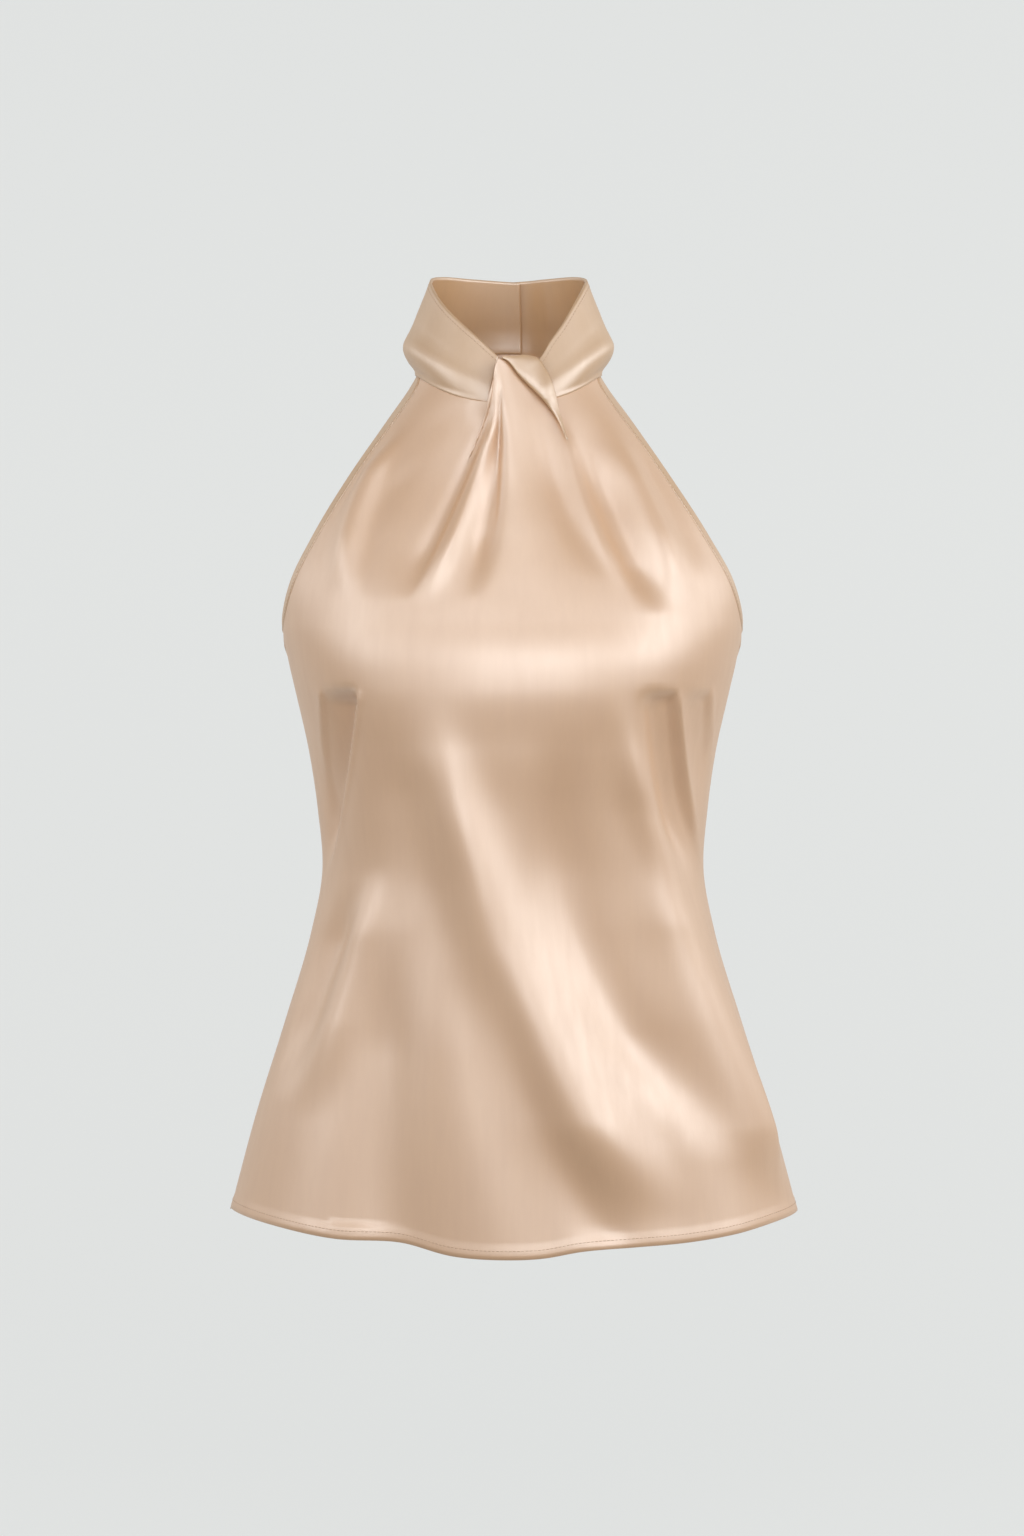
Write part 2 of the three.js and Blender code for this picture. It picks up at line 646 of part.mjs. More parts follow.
// A leaf of cloth that turns over where the collar and the front cross.
function twistLeaf() {
  const edge = (column) => curve(TWIST_LEAF, column);
  const left = { x: edge('leftX'), z: edge('leftZ') };
  const right = { x: edge('rightX'), z: edge('rightZ') };
  const crown = edge('crown');
  const grid = [];
  for (let j = 0; j <= TWIST_ROWS; j += 1) {
    const t = j / TWIST_ROWS;
    const row = [];
    for (let i = 0; i <= TWIST_COLUMNS; i += 1) {
      const s = i / TWIST_COLUMNS;
      const x = THREE.MathUtils.lerp(left.x(t), right.x(t), s);
      const height = THREE.MathUtils.lerp(left.z(t), right.z(t), s);
      const arch = crown(t) * Math.sqrt(Math.max(0, 1 - (2 * s - 1) ** 2));
      const depth = depthUnderLeaf(x, height) + CLOTH + LEAF_CLEARANCE + arch;
      row.push(new THREE.Vector3(x + section.middle(height), -depth, height));
    }
    grid.push(row);
  }
  return named('twist_leaf', wall(grid, CLOTH), SATIN);
}

// The binding of one armhole: one folded strip from the collar's front, under the arm and up to
// the collar's back.
function armholeBinding(side) {
  const stations = [];
  for (const [face, count] of [['front', ARMHOLE_ROWS], ['back', BACK_ARMHOLE_ROWS]]) {
    const part = [];
    for (let j = 0; j <= count; j += 1) {
      const share = j / count;
      const inner = bindingEdge(face, share, BINDING_WIDTH);
      part.push({ inner, outer: armholeEdge(face, share), normal: bindingNormal(face, share) });
    }
    if (face === 'front') stations.push(...part);
    else stations.push(...part.reverse().slice(1));
  }
  const flip = side === 'left' ? -1 : 1;
  const rings = stations.map(({ inner, outer, normal }) => {
    const into = outer.clone().sub(inner).normalize();
    const out = (point, share, lift) => {
      const placed = point.clone().addScaledVector(into, share).addScaledVector(normal, lift);
      return new THREE.Vector3(flip * placed.x + section.middle(placed.z), placed.y, placed.z);
    };
    const low = BINDING_PROUD - BINDING_CLOTH;
    return [
      out(inner, 0, BINDING_PROUD),
      out(outer, -1.2, BINDING_PROUD),
      out(outer, 0, BINDING_PROUD / 2 - BINDING_CLOTH / 4),
      out(outer, 0, low + BINDING_CLOTH / 4),
      out(outer, -1.2, low),
      out(inner, 0, low),
    ];
  });
  const positions = rings.flat().flatMap((point) => point.toArray());
  const sides = rings[0].length;
  const faces = [];
  const triangle = (a, b, c) => (flip > 0 ? faces.push(a, b, c) : faces.push(a, c, b));
  for (let j = 0; j < rings.length - 1; j += 1) {
    for (let i = 0; i < sides; i += 1) {
      const a = j * sides + i;
      const b = j * sides + (i + 1) % sides;
      triangle(a, a + sides, b + sides);
      triangle(a, b + sides, b);
    }
  }
  const last = (rings.length - 1) * sides;
  for (let i = 1; i < sides - 1; i += 1) {
    triangle(0, i, i + 1);
    triangle(last, last + i + 1, last + i);
  }
  return named(`armhole_binding_${side}`, closed(positions, faces), SATIN_TRIM);
}

// A button covered in the same satin, seated on the lap of the collar.
function neckButton(place) {
  const { radius, dome, edge, across } = BUTTON;
  const profile = [
    new THREE.Vector2(0, 0),
    new THREE.Vector2(radius - 0.5, 0),
    new THREE.Vector2(radius, edge * 0.4),
    new THREE.Vector2(radius, edge),
    new THREE.Vector2(radius * 0.78, edge + dome * 0.55),
    new THREE.Vector2(radius * 0.42, edge + dome * 0.9),
    new THREE.Vector2(0, edge + dome),
  ];
  const geometry = new THREE.LatheGeometry(profile, 20);
  geometry.deleteAttribute('normal');
  geometry.deleteAttribute('uv');
  const body = mergeVertices(geometry, 1e-4);
  body.computeVertexNormals();
  const button = named(`neck_button_${place}`, body, BUTTON_SATIN);
  const angle = 180 - degrees(across / NECK_RADIUS);
  const share = BUTTON_SHARES[place];
  const here = collarPoint(angle, share);
  const up = collarPoint(angle, share + 0.05).sub(collarPoint(angle, share - 0.05));
  const side = collarPoint(angle + 2, share).sub(collarPoint(angle - 2, share));
  const normal = side.cross(up).normalize();
  if (normal.y < 0) normal.negate();
  button.quaternion.setFromUnitVectors(new THREE.Vector3(0, 1, 0), normal);
  button.position.copy(here.addScaledVector(normal, SEAM_GAP));
  return button;
}

const top = new THREE.Group();
top.add(frontBody());
top.add(backHalf('left'), backHalf('right'));
top.add(collarHalf('left'), collarHalf('right'));
top.add(twistLeaf());
top.add(armholeBinding('left'), armholeBinding('right'));
top.add(neckButton('upper'), neckButton('lower'));

export default top;
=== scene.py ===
# %% [markdown]
# # A satin halter neck top
# The top is cloth filled out as when it is worn: a flared body hung from a high soft collar, whose
# two halves meet in a twist at the front. It could be sculpted, or draped by simulation. Here every
# piece is a thin curved sheet built from level sections through the garment, with its folds laid on
# as soft ridges and hollows, because each fold then stays where it is put, and the neck, armholes
# and hem stay open with the cloth's real thickness.

# %% Load the frame
import math

import bpy
import numpy as np
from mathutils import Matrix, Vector


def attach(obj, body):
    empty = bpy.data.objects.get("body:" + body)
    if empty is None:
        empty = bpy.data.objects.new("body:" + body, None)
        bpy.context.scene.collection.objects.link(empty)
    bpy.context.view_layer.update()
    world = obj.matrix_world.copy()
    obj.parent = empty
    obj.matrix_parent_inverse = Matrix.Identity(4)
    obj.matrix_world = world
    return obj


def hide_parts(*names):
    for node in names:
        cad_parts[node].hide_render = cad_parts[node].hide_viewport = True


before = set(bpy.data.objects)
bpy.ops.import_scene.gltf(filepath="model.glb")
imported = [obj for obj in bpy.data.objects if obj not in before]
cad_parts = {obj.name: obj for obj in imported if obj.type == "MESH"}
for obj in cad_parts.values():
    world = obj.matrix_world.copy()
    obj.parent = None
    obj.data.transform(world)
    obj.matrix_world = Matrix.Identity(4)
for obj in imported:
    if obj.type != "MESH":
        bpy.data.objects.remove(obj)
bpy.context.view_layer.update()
print("solids:", sorted(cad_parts))

# %% [markdown]
# ## Sections, folds and edges
# A maker drafts a garment from a few measures. Here each table is one of them: the level sections
# of the worn body, the drop of the hem, the neckline as it is drawn up into the twist, and every
# large fold by three places on it. All lengths are millimetres until a mesh is made. Smooth curves
# run through each column, so that the cloth has no corners where a row ends. Left is the side of
# negative X, and a height or a place below the neck's centre is negative.

# %% Read a table by its columns
MM = 0.001


def table(columns, rows):
    return {name: np.array([row[i] for row in rows], float) for i, name in enumerate(columns.split())}


def ease(share):
    s = np.clip(share, 0, 1)
    return s * s * (3 - 2 * s)


def mix(low, high, share):
    return low + (high - low) * share


def curve(rows, column):
    """A smooth curve through one column, with the table's first column as its place."""
    places = next(iter(rows.values()))
    order = np.argsort(places)
    x, y = places[order], rows[column][order]
    step = np.diff(x)
    rate = np.diff(y) / step
    inner = (rate[1:] * step[:-1] + rate[:-1] * step[1:]) / (x[2:] - x[:-2])
    slope = np.concatenate(([rate[0]], inner, [rate[-1]]))

    def at(place):
        place = np.asarray(place, float)
        i = np.clip(np.searchsorted(x, place) - 1, 0, len(x) - 2)
        h = x[i + 1] - x[i]
        t = np.clip((place - x[i]) / h, 0, 1)
        start = ((2 * t - 3) * t * t + 1) * y[i] + ((t - 2) * t + 1) * t * h * slope[i]
        return start + (3 - 2 * t) * t * t * y[i + 1] + (t - 1) * t * t * h * slope[i + 1]

    return at


def unit(vectors):
    return vectors / np.maximum(np.linalg.norm(vectors, axis=-1, keepdims=True), 1e-9)


def run_length(points):
    """Length along a line of points, or down each column of a grid."""
    steps = np.linalg.norm(np.diff(points, axis=0), axis=-1)
    return np.concatenate([np.zeros_like(steps[:1]), np.cumsum(steps, axis=0)])


def ruled(rows, column):
    places = next(iter(rows.values()))
    return lambda place: np.interp(place, places, rows[column])


print("a quarter of the way, eased:", float(ease(0.25)))

# %% The sections of the worn body
SECTIONS = table("height half front back power middle", [
    [32, 58, 60, 61, 2, -1.8],
    [2, 64.4, 61.5, 66, 2, -1.8],
    [-10, 71, 63.5, 69, 2, -1.6],
    [-32, 86.2, 68.1, 75, 2.05, -1.2],
    [-75, 115.4, 79.9, 87, 2.15, -1.1],
    [-118, 142, 95.6, 95, 2.3, -0.2],
    [-150, 158.6, 107, 98.5, 2.4, 0.7],
    [-179, 164.8, 116.1, 100, 2.45, 1],
    [-205, 161, 123.3, 99, 2.5, 1],
    [-226, 156.2, 125.3, 97, 2.5, 1],
    [-269, 146.5, 121.5, 91, 2.4, 1],
    [-312, 140.2, 117.2, 84.5, 2.3, 1.2],
    [-356, 137.2, 115.7, 80.5, 2.2, 1.4],
    [-399, 145, 116.1, 83, 2.2, 1.4],
    [-464, 164.3, 119.6, 95, 2.2, 1.6],
    [-528, 184.5, 123.6, 108, 2.2, 1.8],
    [-600, 204, 127.8, 121, 2.2, 2],
    [-645, 216, 130.6, 128, 2.2, 2],
])
section = {name: curve(SECTIONS, name) for name in SECTIONS}
print("bust depth", float(section["front"](-226) + section["back"](-226)), "mm")

# %% The hems and the drawn-up neckline
HEM_HEIGHT = -597
HEM = {
    "front": table("share drop", [
        [-1, 0], [-0.83, 6], [-0.61, 12.5], [-0.38, 14.5], [-0.2, 22.5], [-0.04, 24.5], [0.1, 23.5],
        [0.22, 19.5], [0.41, 17], [0.61, 15], [0.76, 11], [0.9, 5.5], [1, 2],
    ]),
    "back": table("share drop", [[-1, 2], [-0.5, 7], [0, 9], [0.5, 6], [1, 0]]),
}
hem_drop = {face: curve(rows, "drop") for face, rows in HEM.items()}
TWIST_EDGE = table("share across height", [
    [-0.42, -12.4, -24.5],
    [-0.35, -8.4, 0],
    [-0.28, -6.2, 6],
    [-0.1, -3.2, 7],
    [0.05, 0, 5.5],
    [0.25, 7.5, -3],
    [0.42, 17, -13.5],
    [0.54, 27, -22],
])
print("front hem drops by", float(HEM["front"]["drop"].max()), "mm")

# %% The neck and the armholes
NECK_TILT = 0.37
NECK_RADIUS = 66
NECK_SIDE_HEIGHT = -4
UNDERARM_HEIGHT = -176
FACING = {"front": -1, "back": 1}
# sweep is how far the armhole cuts in from the side, neck where it ends on the neck seam
ARMHOLE = {
    "front": {"sweep": 83, "neck": 12, "inset": 0},
    "back": {"sweep": 100, "neck": 20, "inset": 6},
}
ARMHOLE_HEIGHT = NECK_SIDE_HEIGHT - UNDERARM_HEIGHT
INSET_FALL = 0.4
# the share of the armhole's height over which its start at the underarm is eased
UNDERARM_EASE = 0.05
ARMHOLE_EVENNESS = 0.25
BINDING_WIDTH = 9
SEAM_GAP = 0.3
print("armhole", ARMHOLE_HEIGHT, "mm deep")

# %% The large folds
# Each row is three places from the top of a fold to its end, its width at both ends, how far it
# rises (a hollow is negative), and the shares of its length over which it fades in and out.
FOLD_COLUMNS = "x0 z0 x1 z1 x2 z2 wide0 wide2 rise fadeIn fadeOut"
FOLDS = {
    "front": table(FOLD_COLUMNS, [
        # drawn up into the twist
        [-10, 12, -2, -60, 10, -175, 10.6, 31.1, 10.7, 0, 0.95],
        [-7.5, -26, -11.5, -82, -30, -166, 3.6, 8.5, -5, 0.2, 0.35],
        [-9.5, -28, -30, -94, -66, -170, 3.6, 9.5, 5.2, 0.2, 0.35],
        [-9, -22, -39.5, -94, -78, -168, 4, 9, -1.8, 0.2, 0.3],
        # down from the neck, beside the armholes
        [-61, -60, -91, -100, -102, -168, 7.9, 11.9, -1.1, 0.25, 0.35],
        [-75, -40, -106, -95, -117, -168, 6.8, 11.4, 7.2, 0.25, 0.4],
        [20, -28, 34, -90, 62, -152, 6, 10.5, -3, 0.5, 0.4],
        [38, -36, 56, -103, 89, -172, 4, 7.5, 2.8, 0.15, 0.35],
        [45, -30, 73, -105, 102, -176, 9, 13, -7, 0.5, 0.25],
        [66, -30, 99, -105, 121, -170, 8.3, 13.8, 6.4, 0.35, 0.4],
        [80, -44, 110, -95, 135, -150, 6.5, 8, -1.5, 0.3, 0.4],
        # over the bust
        [-70, -130, -63, -210, -68, -290, 44.5, 45.5, -2.7, 0.5, 0.5],
        [66, -130, 68, -210, 71, -290, 42.3, 42.5, 0.5, 0.5, 0.5],
        # the pockets under the bust
        [-121, -222, -129, -298, -139, -366, 11, 9, -5, 0.12, 0.35],
        [98, -224, 108, -296, 127, -366, 8.5, 8, -4.6, 0.14, 0.35],
        [126, -224, 130, -262, 134, -316, 7, 6, -2.5, 0.2, 0.4],
        # down the skirt
        [-62, -232, -14, -400, 89, -600, 17.7, 33.9, 12, 0.5, 0.2],
        [-58, -226, -38, -305, 0, -410, 17, 17, 5.4, 0.5, 0.5],
        [-14, -240, 15, -310, 48, -400, 18, 20, 0.4, 0.3, 0.45],
        [-92, -250, -67, -330, -42, -430, 17.8, 19.8, -2.1, 0.3, 0.4],
        [41, -250, 43, -374, 156, -560, 18, 27.1, -9, 0.35, 0.3],
        [76, -228, 87, -300, 115, -390, 9.5, 13, 6.4, 0.45, 0.45],
        [84, -310, 121, -420, 206, -590, 16.5, 24, 10.8, 0.3, 0.2],
        [-22, -370, 17, -513, 75, -624, 15.1, 17.8, -3.4, 0.4, 0.1],
        [-52, -390, -35, -513, -3, -624, 16.7, 32.2, 3.1, 0.4, 0],
        [-81, -390, -92, -513, -82, -624, 14.7, 28.4, -7.3, 0.4, 0],
        [-103, -300, -116, -430, -117, -600, 13.9, 23.7, -1.8, 0.4, 0],
        [-96, -350, -118, -440, -146, -530, 9.9, 15.3, 6.4, 0.3, 0.4],
        [-112, -360, -139, -440, -169, -520, 8.9, 11.9, -6.9, 0.3, 0.4],
        [59, -480, 109, -560, 124, -640, 18.4, 24.6, -3.4, 0.4, 0],
    ]),
    "back": table(FOLD_COLUMNS, [
        [-30, 0, -52, -110, -78, -240, 12, 20, 4, 0.3, 0.5],
        [36, 4, 58, -100, 74, -225, 12, 18, 4, 0.3, 0.5],
        [-66, -60, -92, -140, -112, -225, 10, 14, -4, 0.4, 0.4],
        [82, -70, 104, -150, 120, -235, 10, 14, -4, 0.4, 0.4],
        [-92, -240, -74, -390, -98, -600, 14, 24, 7, 0.4, 0],
        [-44, -300, -38, -430, -58, -606, 14, 20, -6, 0.4, 0],
        [84, -250, 66, -400, 88, -600, 14, 26, 7.5, 0.4, 0],
        [34, -290, 30, -430, 44, -606, 12, 20, -6, 0.4, 0],
        [-128, -300, -132, -430, -152, -590, 12, 18, -5, 0.4, 0.1],
        [122, -310, 130, -440, 146, -590, 12, 18, -5, 0.4, 0.1],
    ]),
}

# %% The sharp creases
# A crease has a soft side and a steep side, so it has a width to its left and one to its right.
CREASE_COLUMNS = "x0 z0 x1 z1 x2 z2 left right rise fadeIn fadeOut"
CREASES = {
    "front": table(CREASE_COLUMNS, [
        # the sharp lower edge of the pleat beside the twist, and the twist's own left edge
        [-8, -20, -38.5, -94, -74, -166, 30, 2.2, -3.4, 0.15, 0.25],
        [-5.8, -14, -7, -64, -12, -124, 2.6, 1, -2.6, 0.1, 0.5],
        # the pocket under the left bust, between two sharp edges
        [-113, -226, -126.5, -312, -137.4, -366, 15, 3, -9.5, 0.07, 0.6],
        [-108.2, -227, -121.6, -312, -134.5, -368, 1, 3, 2, 0.04, 0.4],
        [-135.3, -227, -136.4, -266, -136.6, -306, 3, 1, 2.2, 0.05, 0.5],
        # the two pinched edges under the right bust
        [111.5, -228, 120, -296, 132, -358, 13, 3, -6.5, 0.05, 0.5],
        [115.6, -229, 124.4, -296, 136.2, -360, 1, 3, 1.6, 0.04, 0.4],
        [136.6, -228, 137.4, -262, 137.8, -300, 8, 2, -2.5, 0.05, 0.5],
        [140.4, -226, 141.4, -258, 141.6, -292, 0.9, 2.2, 1.2, 0.05, 0.5],
    ]),
    "back": table(CREASE_COLUMNS, [
        [-112, -236, -121, -300, -130, -350, 8, 2.4, -2.6, 0.1, 0.5],
        [118, -232, 126, -300, 133, -356, 2.4, 9, -2.8, 0.1, 0.5],
    ]),
}
print("front creases:", len(CREASES["front"]["rise"]))

# %% [markdown]
# ## The surface of the cloth
# A level section through a worn top is close to an ellipse with squarer sides. Above the underarm
# only the middle of it is cloth: the armhole cuts the rest away. These functions give the depth of
# the cloth at any place across and any height, for whole arrays of places at once, which is what
# makes a fine mesh quick to compute. A height map would need an image, and its folds couldn't be
# moved by a number.

# %% Depth of the cloth anywhere
def neck_height(depth):
    """Height of the neck seam at a depth, negative to the front: level at the sides."""
    return NECK_TILT * depth * np.abs(depth) / NECK_RADIUS


def sweep_depth(face, share):
    """How far forward or back the armhole cuts, at a share of the way up from the underarm."""
    return ARMHOLE[face]["sweep"] * np.sqrt(share) * (1 - share) + ARMHOLE[face]["neck"] * share


def reach(face, height):
    """Half width of the whole section, eased past the underarm, where the cloth would have a kink."""
    share = (height - UNDERARM_HEIGHT) / ARMHOLE_HEIGHT
    share = np.clip((share + np.sqrt(share * share + UNDERARM_EASE ** 2)) / 2, 0, 1)
    inset = ARMHOLE[face]["inset"] * np.sqrt(share) * (1 - INSET_FALL * share)
    outline = section["half"](height) - inset
    cut = sweep_depth(face, share) / section[face](height)
    return outline / (1 - cut * cut) ** (1 / section["power"](height))


def plain_depth(face, x, height):
    share = np.clip(np.abs(x) / reach(face, height), 0, 1)
    return section[face](height) * np.sqrt(1 - share ** section["power"](height))


def across_at(face, depth, height):
    share = np.clip(depth / section[face](height), 0, 1)
    return reach(face, height) * (1 - share * share) ** (1 / section["power"](height))


print("half width at the waist", round(float(reach("front", -356)), 1), "mm")


# %% The folds at any place on the cloth
def fold_sum(rows, x, height):
    """Height of all the folds in a table at places on the cloth. A crease has uneven sides."""
    total = np.zeros(np.broadcast(x, height).shape)
    for k in range(len(rows["rise"])):
        f = {name: column[k] for name, column in rows.items()}
        length = f["z0"] - f["z2"]
        t = (f["z0"] - height) / length
        m = (f["z0"] - f["z1"]) / length
        line = (f["x0"] * (t - m) * (t - 1) / m + f["x1"] * t * (t - 1) / (m * (m - 1))
                + f["x2"] * t * (t - m) / (1 - m))
        if "left" in f:
            wide = np.where(x < line, f["left"], f["right"])
        else:
            wide = mix(f["wide0"], f["wide2"], t) * math.hypot(length, f["x2"] - f["x0"]) / length
        coming = ease(t / f["fadeIn"]) if f["fadeIn"] > 0 else 1.0
        going = ease((1 - t) / f["fadeOut"]) if f["fadeOut"] > 0 else 1.0
        bump = f["rise"] * np.exp(-((x - line) / np.maximum(wide, 0.5)) ** 2) * coming * going
        total += np.where((t > 0) & (t < 1), bump, 0)
    return total


def panel_point(face, x, height, calm, extra=0.0):
    """Outer points of a panel. calm is 1 in the open cloth and 0 at a seam, where folds end."""
    facing = FACING[face]
    depth = plain_depth(face, x, height)
    full, power = reach(face, height), section["power"](height)
    nx = np.sign(x) * power * (np.abs(x) / full) ** (power - 1) / full
    ny = 2 * depth / section[face](height) ** 2
    size = np.maximum(np.hypot(nx, ny), 1e-9)
    rise = (fold_sum(FOLDS[face], x, height) + fold_sum(CREASES[face], x, height)) * calm + extra
    y = facing * (SEAM_GAP / 2 + depth + rise * ny / size)
    return np.stack([x + section["middle"](height) + rise * nx / size, y, height + 0 * x], axis=-1)


print("main fold at the waist", round(float(fold_sum(FOLDS["front"], -30.0, -356.0)), 1), "mm")


# %% The neck seam and the armhole's edges
EDGE_STEP = 0.004


def seam_height(face, x):
    """Height of the neck seam, found by closing in on it."""
    facing = FACING[face]
    height = neck_height(facing * section[face](0.0))
    for _ in range(40):
        height = height + (neck_height(facing * plain_depth(face, x, height)) - height) / 2
    return height


def armhole_edge(face, share):
    """A point on the armhole's edge, from 0 at the neck to 1 at the underarm."""
    facing = FACING[face]
    top = neck_height(facing * ARMHOLE[face]["neck"]) - SEAM_GAP
    down = ARMHOLE_EVENNESS * share + (1 - ARMHOLE_EVENNESS) * (1 - (1 - share) ** 2)
    height = top + (UNDERARM_HEIGHT - top) * down
    depth = sweep_depth(face, np.clip((height - UNDERARM_HEIGHT) / ARMHOLE_HEIGHT, 0, 1))
    return np.array([across_at(face, depth, height), facing * depth, height], float)


def surface_normal(face, x, height, depth):
    full, power = reach(face, height), section["power"](height)
    nx = power * (abs(x) / full) ** (power - 1) / full
    return unit(np.array([nx, FACING[face] * 2 * depth / section[face](height) ** 2, 0.0]))


def binding_edge(face, share, width):
    """A point on the cloth, a given width in from the armhole's edge."""
    facing = FACING[face]
    edge = armhole_edge(face, share)
    if share >= 1:
        along = np.array([0.0, -facing, 0.0])
    else:
        before, after = max(0, share - EDGE_STEP), min(1, share + EDGE_STEP)
        along = armhole_edge(face, after) - armhole_edge(face, before)
    inward = np.cross(along, surface_normal(face, edge[0], edge[2], abs(edge[1])))
    point = edge - facing * width * inward / np.linalg.norm(inward)
    depth = abs(point[1])
    height = mix(neck_height(facing * depth) - SEAM_GAP, point[2], ease(share / 0.2))
    return np.array([across_at(face, depth, height), facing * depth, height], float)


def binding_normal(face, share):
    inner, outer = binding_edge(face, share, BINDING_WIDTH), armhole_edge(face, share)
    return unit(sum(surface_normal(face, p[0], p[2], abs(p[1])) for p in (inner, outer)))


def top_edge(face, share):
    """The top of a panel at shares of its width: along the neck seam, and up into the twist."""
    corner = binding_edge(face, 0, BINDING_WIDTH + 3 * SEAM_GAP)[0]
    if face == "back":
        x = corner * share
        return x, seam_height(face, x) - SEAM_GAP
    first, last = TWIST_EDGE["share"][[0, -1]]
    near, far = TWIST_EDGE["across"][[0, -1]]
    x = np.interp(share, [-1, first, last, 1], [-corner, near, far, corner])
    z = seam_height(face, x) - SEAM_GAP
    drawn = (share > first) & (share < last)
    x = np.where(drawn, ruled(TWIST_EDGE, "across")(share), x)
    return x, np.where(drawn, ruled(TWIST_EDGE, "height")(share), z)


print("neck seam at the front", round(float(seam_height("front", 0.0)), 1), "mm")

# %% [markdown]
# ## From points to a sewn sheet
# Real satin is about a third of a millimetre thick, and its edges are folded, so a raw cut never
# shows. The helper takes a grid of outer points, sets a second grid inside it along the surface's
# own normals, and joins the two with a rounded edge all round. That closes the sheet without a
# Solidify modifier, whose corners would spread unevenly where the folds are tight.

# %% Close a grid into a thin sheet
# how far the folded edge bulges past the cloth, as a share of its thickness
EDGE_BULGE = 0.3


def grid_normals(grid):
    return unit(np.cross(np.gradient(grid, axis=0), np.gradient(grid, axis=1)))


def new_piece(name, points, faces, uv=None):
    """A mesh object from points in millimetres. uv holds one pair for each point, in metres."""
    mesh = bpy.data.meshes.new(name)
    mesh.from_pydata([tuple(p) for p in np.asarray(points) * MM], [], faces)
    mesh.polygons.foreach_set("use_smooth", [True] * len(mesh.polygons))
    if uv is not None:
        layer = mesh.uv_layers.new(name="cloth")
        corners = np.empty(len(mesh.loops), int)
        mesh.loops.foreach_get("vertex_index", corners)
        layer.data.foreach_set("uv", np.asarray(uv, float)[corners].ravel())
    mesh.update()
    piece = bpy.data.objects.new(name, mesh)
    bpy.context.scene.collection.objects.link(piece)
    return piece


def sheet(name, grid, thickness):
    """A closed thin sheet. The grid's rows run down and its columns run so that it faces out."""
    rows, columns = grid.shape[:2]
    inner = grid - grid_normals(grid) * thickness
    middle = (grid + inner) / 2
    rim = [(0, i) for i in range(columns)] + [(j, columns - 1) for j in range(1, rows)]
    rim += [(rows - 1, i) for i in range(columns - 2, -1, -1)] + [(j, 0) for j in range(rows - 2, 0, -1)]
    js, ks = np.array(rim).T
    out = unit(grid[js, ks] - grid[np.clip(js, 1, rows - 2), np.clip(ks, 1, columns - 2)])
    lip = middle[js, ks] + out * thickness * EDGE_BULGE
    points = np.vstack([grid.reshape(-1, 3), inner.reshape(-1, 3), lip])
    u = run_length(grid.swapaxes(0, 1)).T
    flat = np.stack([u - u[:, columns // 2][:, None], run_length(grid)], axis=-1) * MM
    uv = np.vstack([flat.reshape(-1, 2), flat.reshape(-1, 2), flat[js, ks]])
    a = np.arange(rows * columns).reshape(rows, columns)
    b = a + rows * columns
    outer_faces = np.stack([a[:-1, :-1], a[1:, :-1], a[1:, 1:], a[:-1, 1:]], axis=-1).reshape(-1, 4)
    inner_faces = np.stack([b[:-1, :-1], b[:-1, 1:], b[1:, 1:], b[1:, :-1]], axis=-1).reshape(-1, 4)
    ring = np.arange(len(rim))
    after = np.roll(ring, -1)
    edge_a, edge_b, edge_m = a[js, ks], b[js, ks], 2 * rows * columns + ring
    front_rim = np.stack([edge_a, edge_a[after], edge_m[after], edge_m], axis=-1)
    back_rim = np.stack([edge_m, edge_m[after], edge_b[after], edge_b], axis=-1)
    faces = np.vstack([outer_faces, inner_faces, front_rim, back_rim]).tolist()
    return new_piece(name, points, faces, uv)


# %% [markdown]
# ## Stitches
# Lockstitch shows on the right side as short dashes with a small gap between them. A dash is a tiny
# spindle laid along the seam line and sunk half way into the cloth. All the dashes of one line are
# one mesh, because hundreds of separate objects would be slow and of no use.

# %% Sew a line of stitches
STITCH = {"length": 2.1, "gap": 0.8, "radius": 0.24}
# places along a dash as shares of its length, and how fat it is there
SPINDLE = [(-0.5, 0.35), (-0.3, 0.95), (0.3, 0.95), (0.5, 0.35)]
SPINDLE_SIDES = 6
SPINDLE_FLATNESS = 0.8


def read(values, lengths, at):
    """Values of x, y and z at lengths along a line."""
    return np.stack([np.interp(at, lengths, values[:, k]) for k in range(3)], axis=-1)


def stitches(name, points, normals):
    """Even dashes along a line of points, laid on the cloth that the normals belong to."""
    lengths = run_length(points)
    pitch = STITCH["length"] + STITCH["gap"]
    at = np.arange(pitch / 2, lengths[-1], pitch)
    places, up = read(points, lengths, at), read(normals, lengths, at)
    way = unit(read(points, lengths, at + 0.5) - read(points, lengths, at - 0.5))
    up = unit(up - way * np.sum(up * way, axis=1, keepdims=True))
    side = np.cross(way, up)
    verts, faces = [], []
    for k in range(len(at)):
        base = len(verts)
        for share, fat in SPINDLE:
            for s in range(SPINDLE_SIDES):
                turn = 2 * math.pi * s / SPINDLE_SIDES
                ring = side[k] * math.cos(turn) + up[k] * math.sin(turn) * SPINDLE_FLATNESS
                verts.append(places[k] + way[k] * share * STITCH["length"] + ring * fat * STITCH["radius"])
        for r in range(len(SPINDLE) - 1):
            for s in range(SPINDLE_SIDES):
                p = base + r * SPINDLE_SIDES + s
                q = base + r * SPINDLE_SIDES + (s + 1) % SPINDLE_SIDES
                faces.append((p, q, q + SPINDLE_SIDES, p + SPINDLE_SIDES))
        end = base + (len(SPINDLE) - 1) * SPINDLE_SIDES
        faces.append(tuple(base + s for s in reversed(range(SPINDLE_SIDES))))
        faces.append(tuple(end + s for s in range(SPINDLE_SIDES)))
    return new_piece(name, verts, faces)


print("stitches to 10 cm:", round(100 / (STITCH["length"] + STITCH["gap"])))

